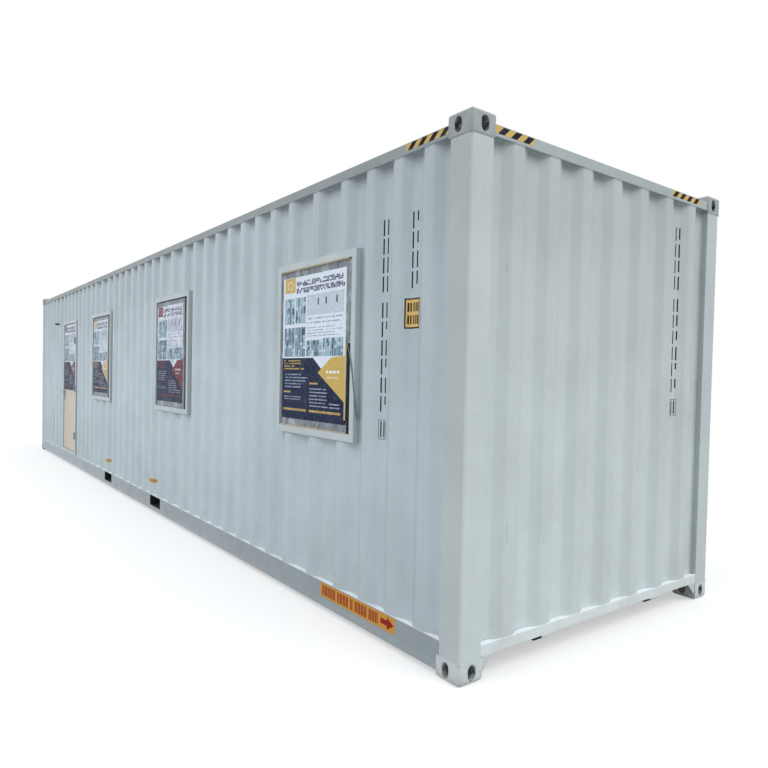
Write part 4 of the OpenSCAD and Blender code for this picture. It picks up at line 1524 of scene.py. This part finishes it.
def run_bead(name, paths, matrix, radius, material, sheet=FLAT, ripple=0.2, step=10 * MM):
    """Lays a bead along each path, a list of points in a wall's own plane."""
    points, edges = [], []
    for path in paths:
        start = len(points)
        points += path
        edges += [(k, k + 1) for k in range(start, len(points) - 1)]
    mesh = bpy.data.meshes.new(name)
    mesh.from_pydata(points, edges, [])
    sizes = {**sheet, "Step": step, "Radius": radius, "Ripple": ripple, "Ripple Length": 12 * MM}
    piece = grow(name, bead, sizes, material, shape=mesh)
    place_mesh(piece.data, matrix)
    smooth_over(piece.data, 70)
    settle(piece)


def level_run(z, *ends):
    return [[(a, 0, z), (b, 0, z)] for a, b in ends]


def upright_run(x, *ends):
    return [[(x, 0, a), (x, 0, b)] for a, b in ends]


wall_end = post_lo.x - 1 * MM
foot, head = side_lo.z + 1.5 * MM, side_hi.z - 1.5 * MM
for side, matrix, door in (
    ("door_side", door_side_at(side_lo.y), True),
    ("far_side", far_side_at(far_hi.y), False),
):
    foot_ends = [(-wall_end, door_lo.x), (door_hi.x, wall_end)] if door else [(-wall_end, wall_end)]
    paths = level_run(foot, *foot_ends) + level_run(head, (-wall_end, wall_end))
    paths += upright_run(wall_end, (foot, head)) + upright_run(-wall_end, (foot, head))
    run_bead("wall_welds_" + side, paths, matrix, 3 * MM, weld_paint, SIDE_WAVE)
    seams = []
    for k in (-1, 0, 1):
        seams += upright_run(SEAM + k * PANEL, (foot, surround_lo.z), (surround_hi.z, head))
    seams += upright_run(SEAM - 2 * PANEL, (foot, head))
    run_bead("panel_seams_" + side, seams, matrix, 1.3 * MM, side_paint, SIDE_WAVE, 0.1)
    edging = []
    for window_x in window_xs:
        left, right = window_x - WINDOW_WIDTH / 2 - 2 * MM, window_x + WINDOW_WIDTH / 2 + 2 * MM
        for z in (surround_lo.z - 2 * MM, surround_hi.z + 2 * MM):
            edging += level_run(z, (left, right))
        for x in (left, right):
            edging += upright_run(x, (surround_lo.z, surround_hi.z))
    if door:
        for x in (door_lo.x - 2 * MM, door_hi.x + 2 * MM):
            edging += upright_run(x, (foot, door_hi.z))
        edging += level_run(door_hi.z + 2 * MM, (door_lo.x, door_hi.x))
    run_bead("sealant_" + side, edging, matrix, 3.5 * MM, sealant, SIDE_WAVE, 0.25)

end_half = (end_hi.y - end_lo.y) / 2 - 1 * MM
for end, sign in (("front", 1), ("rear", -1)):
    paths = level_run(end_lo.z + 1.5 * MM, (-end_half, end_half))
    paths += level_run(end_hi.z - 1.5 * MM, (-end_half, end_half))
    paths += upright_run(end_half, (end_lo.z, end_hi.z)) + upright_run(-end_half, (end_lo.z, end_hi.z))
    run_bead("wall_welds_" + end, paths, end_at(sign, end_hi.x), 3 * MM, weld_paint, END_WAVE)

post_front, post_side = post_hi.x, MIDDLE - post_lo.y
post_depth, post_width = post_hi.x - post_lo.x, post_hi.y - post_lo.y
for level, z, material in (("top", top_lo.z, sealant), ("bottom", casting_hi.z, weld_paint)):
    joints = []
    for sx in (-1, 1):
        for sy in (-1, 1):
            corner = [
                (post_front - post_depth, post_side),
                (post_front, post_side),
                (post_front, post_side - post_width),
            ]
            joints.append([(sx * x, MIDDLE + sy * y, z) for x, y in corner])
    run_bead(level + "_casting_welds", joints, Matrix(), 3 * MM, material)

# Torn strand of film, along X from the middle of the first window, hanging over its surround
strand = [(0.4365, -1.206, 1.793), (0.482, -1.208, 1.692), (0.513, -1.208, 1.58),
          (0.529, -1.205, 1.479), (0.533, -1.192, 1.378), (0.5335, -1.175, 1.286)]
strand = [(first_x + x, y, z) for x, y, z in strand]
run_bead("torn_film_strand", [strand], Matrix(), 4 * MM, protective_film,
         ripple=0.9, step=6 * MM)


# ---- floor, backdrop and lights ----

def seen_directly(graph):
    """1 for rays that come from the camera or from glossy and clear surfaces."""
    rays = graph.node("ShaderNodeLightPath").outputs
    return graph.most(graph.most(rays["Is Camera Ray"], rays["Is Glossy Ray"]), rays["Is Transmission Ray"])


def studio():
    """Pale floor that fades into a white backdrop, with soft light from above."""
    mesh = bpy.data.meshes.new("studio_floor")
    reach = 120
    corners = [(-reach, -reach, 0), (reach, -reach, 0), (reach, reach, 0), (-reach, reach, 0)]
    mesh.from_pydata(corners, [], [(0, 1, 2, 3)])
    material, graph, shader, where = finish("studio_floor", Roughness=0.9)
    x, y, z = graph.split(where)
    out_x = graph.most(graph.minus(graph.magnitude(x), HALF_LENGTH), 0.0)
    out_y = graph.most(graph.minus(graph.magnitude(y), HALF_WIDTH), 0.0)
    away = graph.distance(out_x, out_y)
    seen = seen_directly(graph)
    graph.put(shader["Base Color"], graph.blend(seen, linear(166, 168, 168), linear(238, 240, 242)))
    glow = graph.node("ShaderNodeEmission", {"Color": (1, 1, 1, 1), "Strength": 1.0}).outputs[0]
    tree = material.node_tree
    lit = tree.nodes["Principled BSDF"].outputs[0]
    share = graph.times(graph.step(away, 0.3, 3.0, 0.5, 1.0), seen)
    mixed = graph.node("ShaderNodeMixShader", {0: share, 1: lit, 2: glow}).outputs[0]
    graph.put(tree.nodes["Material Output"].inputs["Surface"], mixed)
    new_piece("studio_floor", mesh, material)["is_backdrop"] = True

    world = bpy.data.worlds.new("studio")
    scene.world = world
    world.use_nodes = True
    graph = Graph(world.node_tree)
    seen = seen_directly(graph)
    backdrop = world.node_tree.nodes["Background"]
    graph.put(backdrop.inputs["Color"], graph.blend(seen, (0.95, 0.98, 1.0, 1), (1, 1, 1, 1)))
    graph.put(backdrop.inputs["Strength"], graph.plus(graph.times(seen, 0.2), 0.8))

    def lamp(name, strength, elevation, azimuth, spread):
        data = bpy.data.lights.new(name, "SUN")
        data.energy = strength
        data.angle = math.radians(spread)
        light = bpy.data.objects.new(name, data)
        scene.collection.objects.link(light)
        light.rotation_euler = (math.radians(90 - elevation), 0, math.radians(azimuth))

    lamp("key_light", 1.9, 50, 113, 40)
    lamp("fill_light", 1.25, 50, -24, 40)


studio()

view = scene.view_settings
view.view_transform = "Standard"

sizes = {
    "cad": [list(corner) for corner in cad_box],
    "visual": [list(corner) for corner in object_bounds()],
}
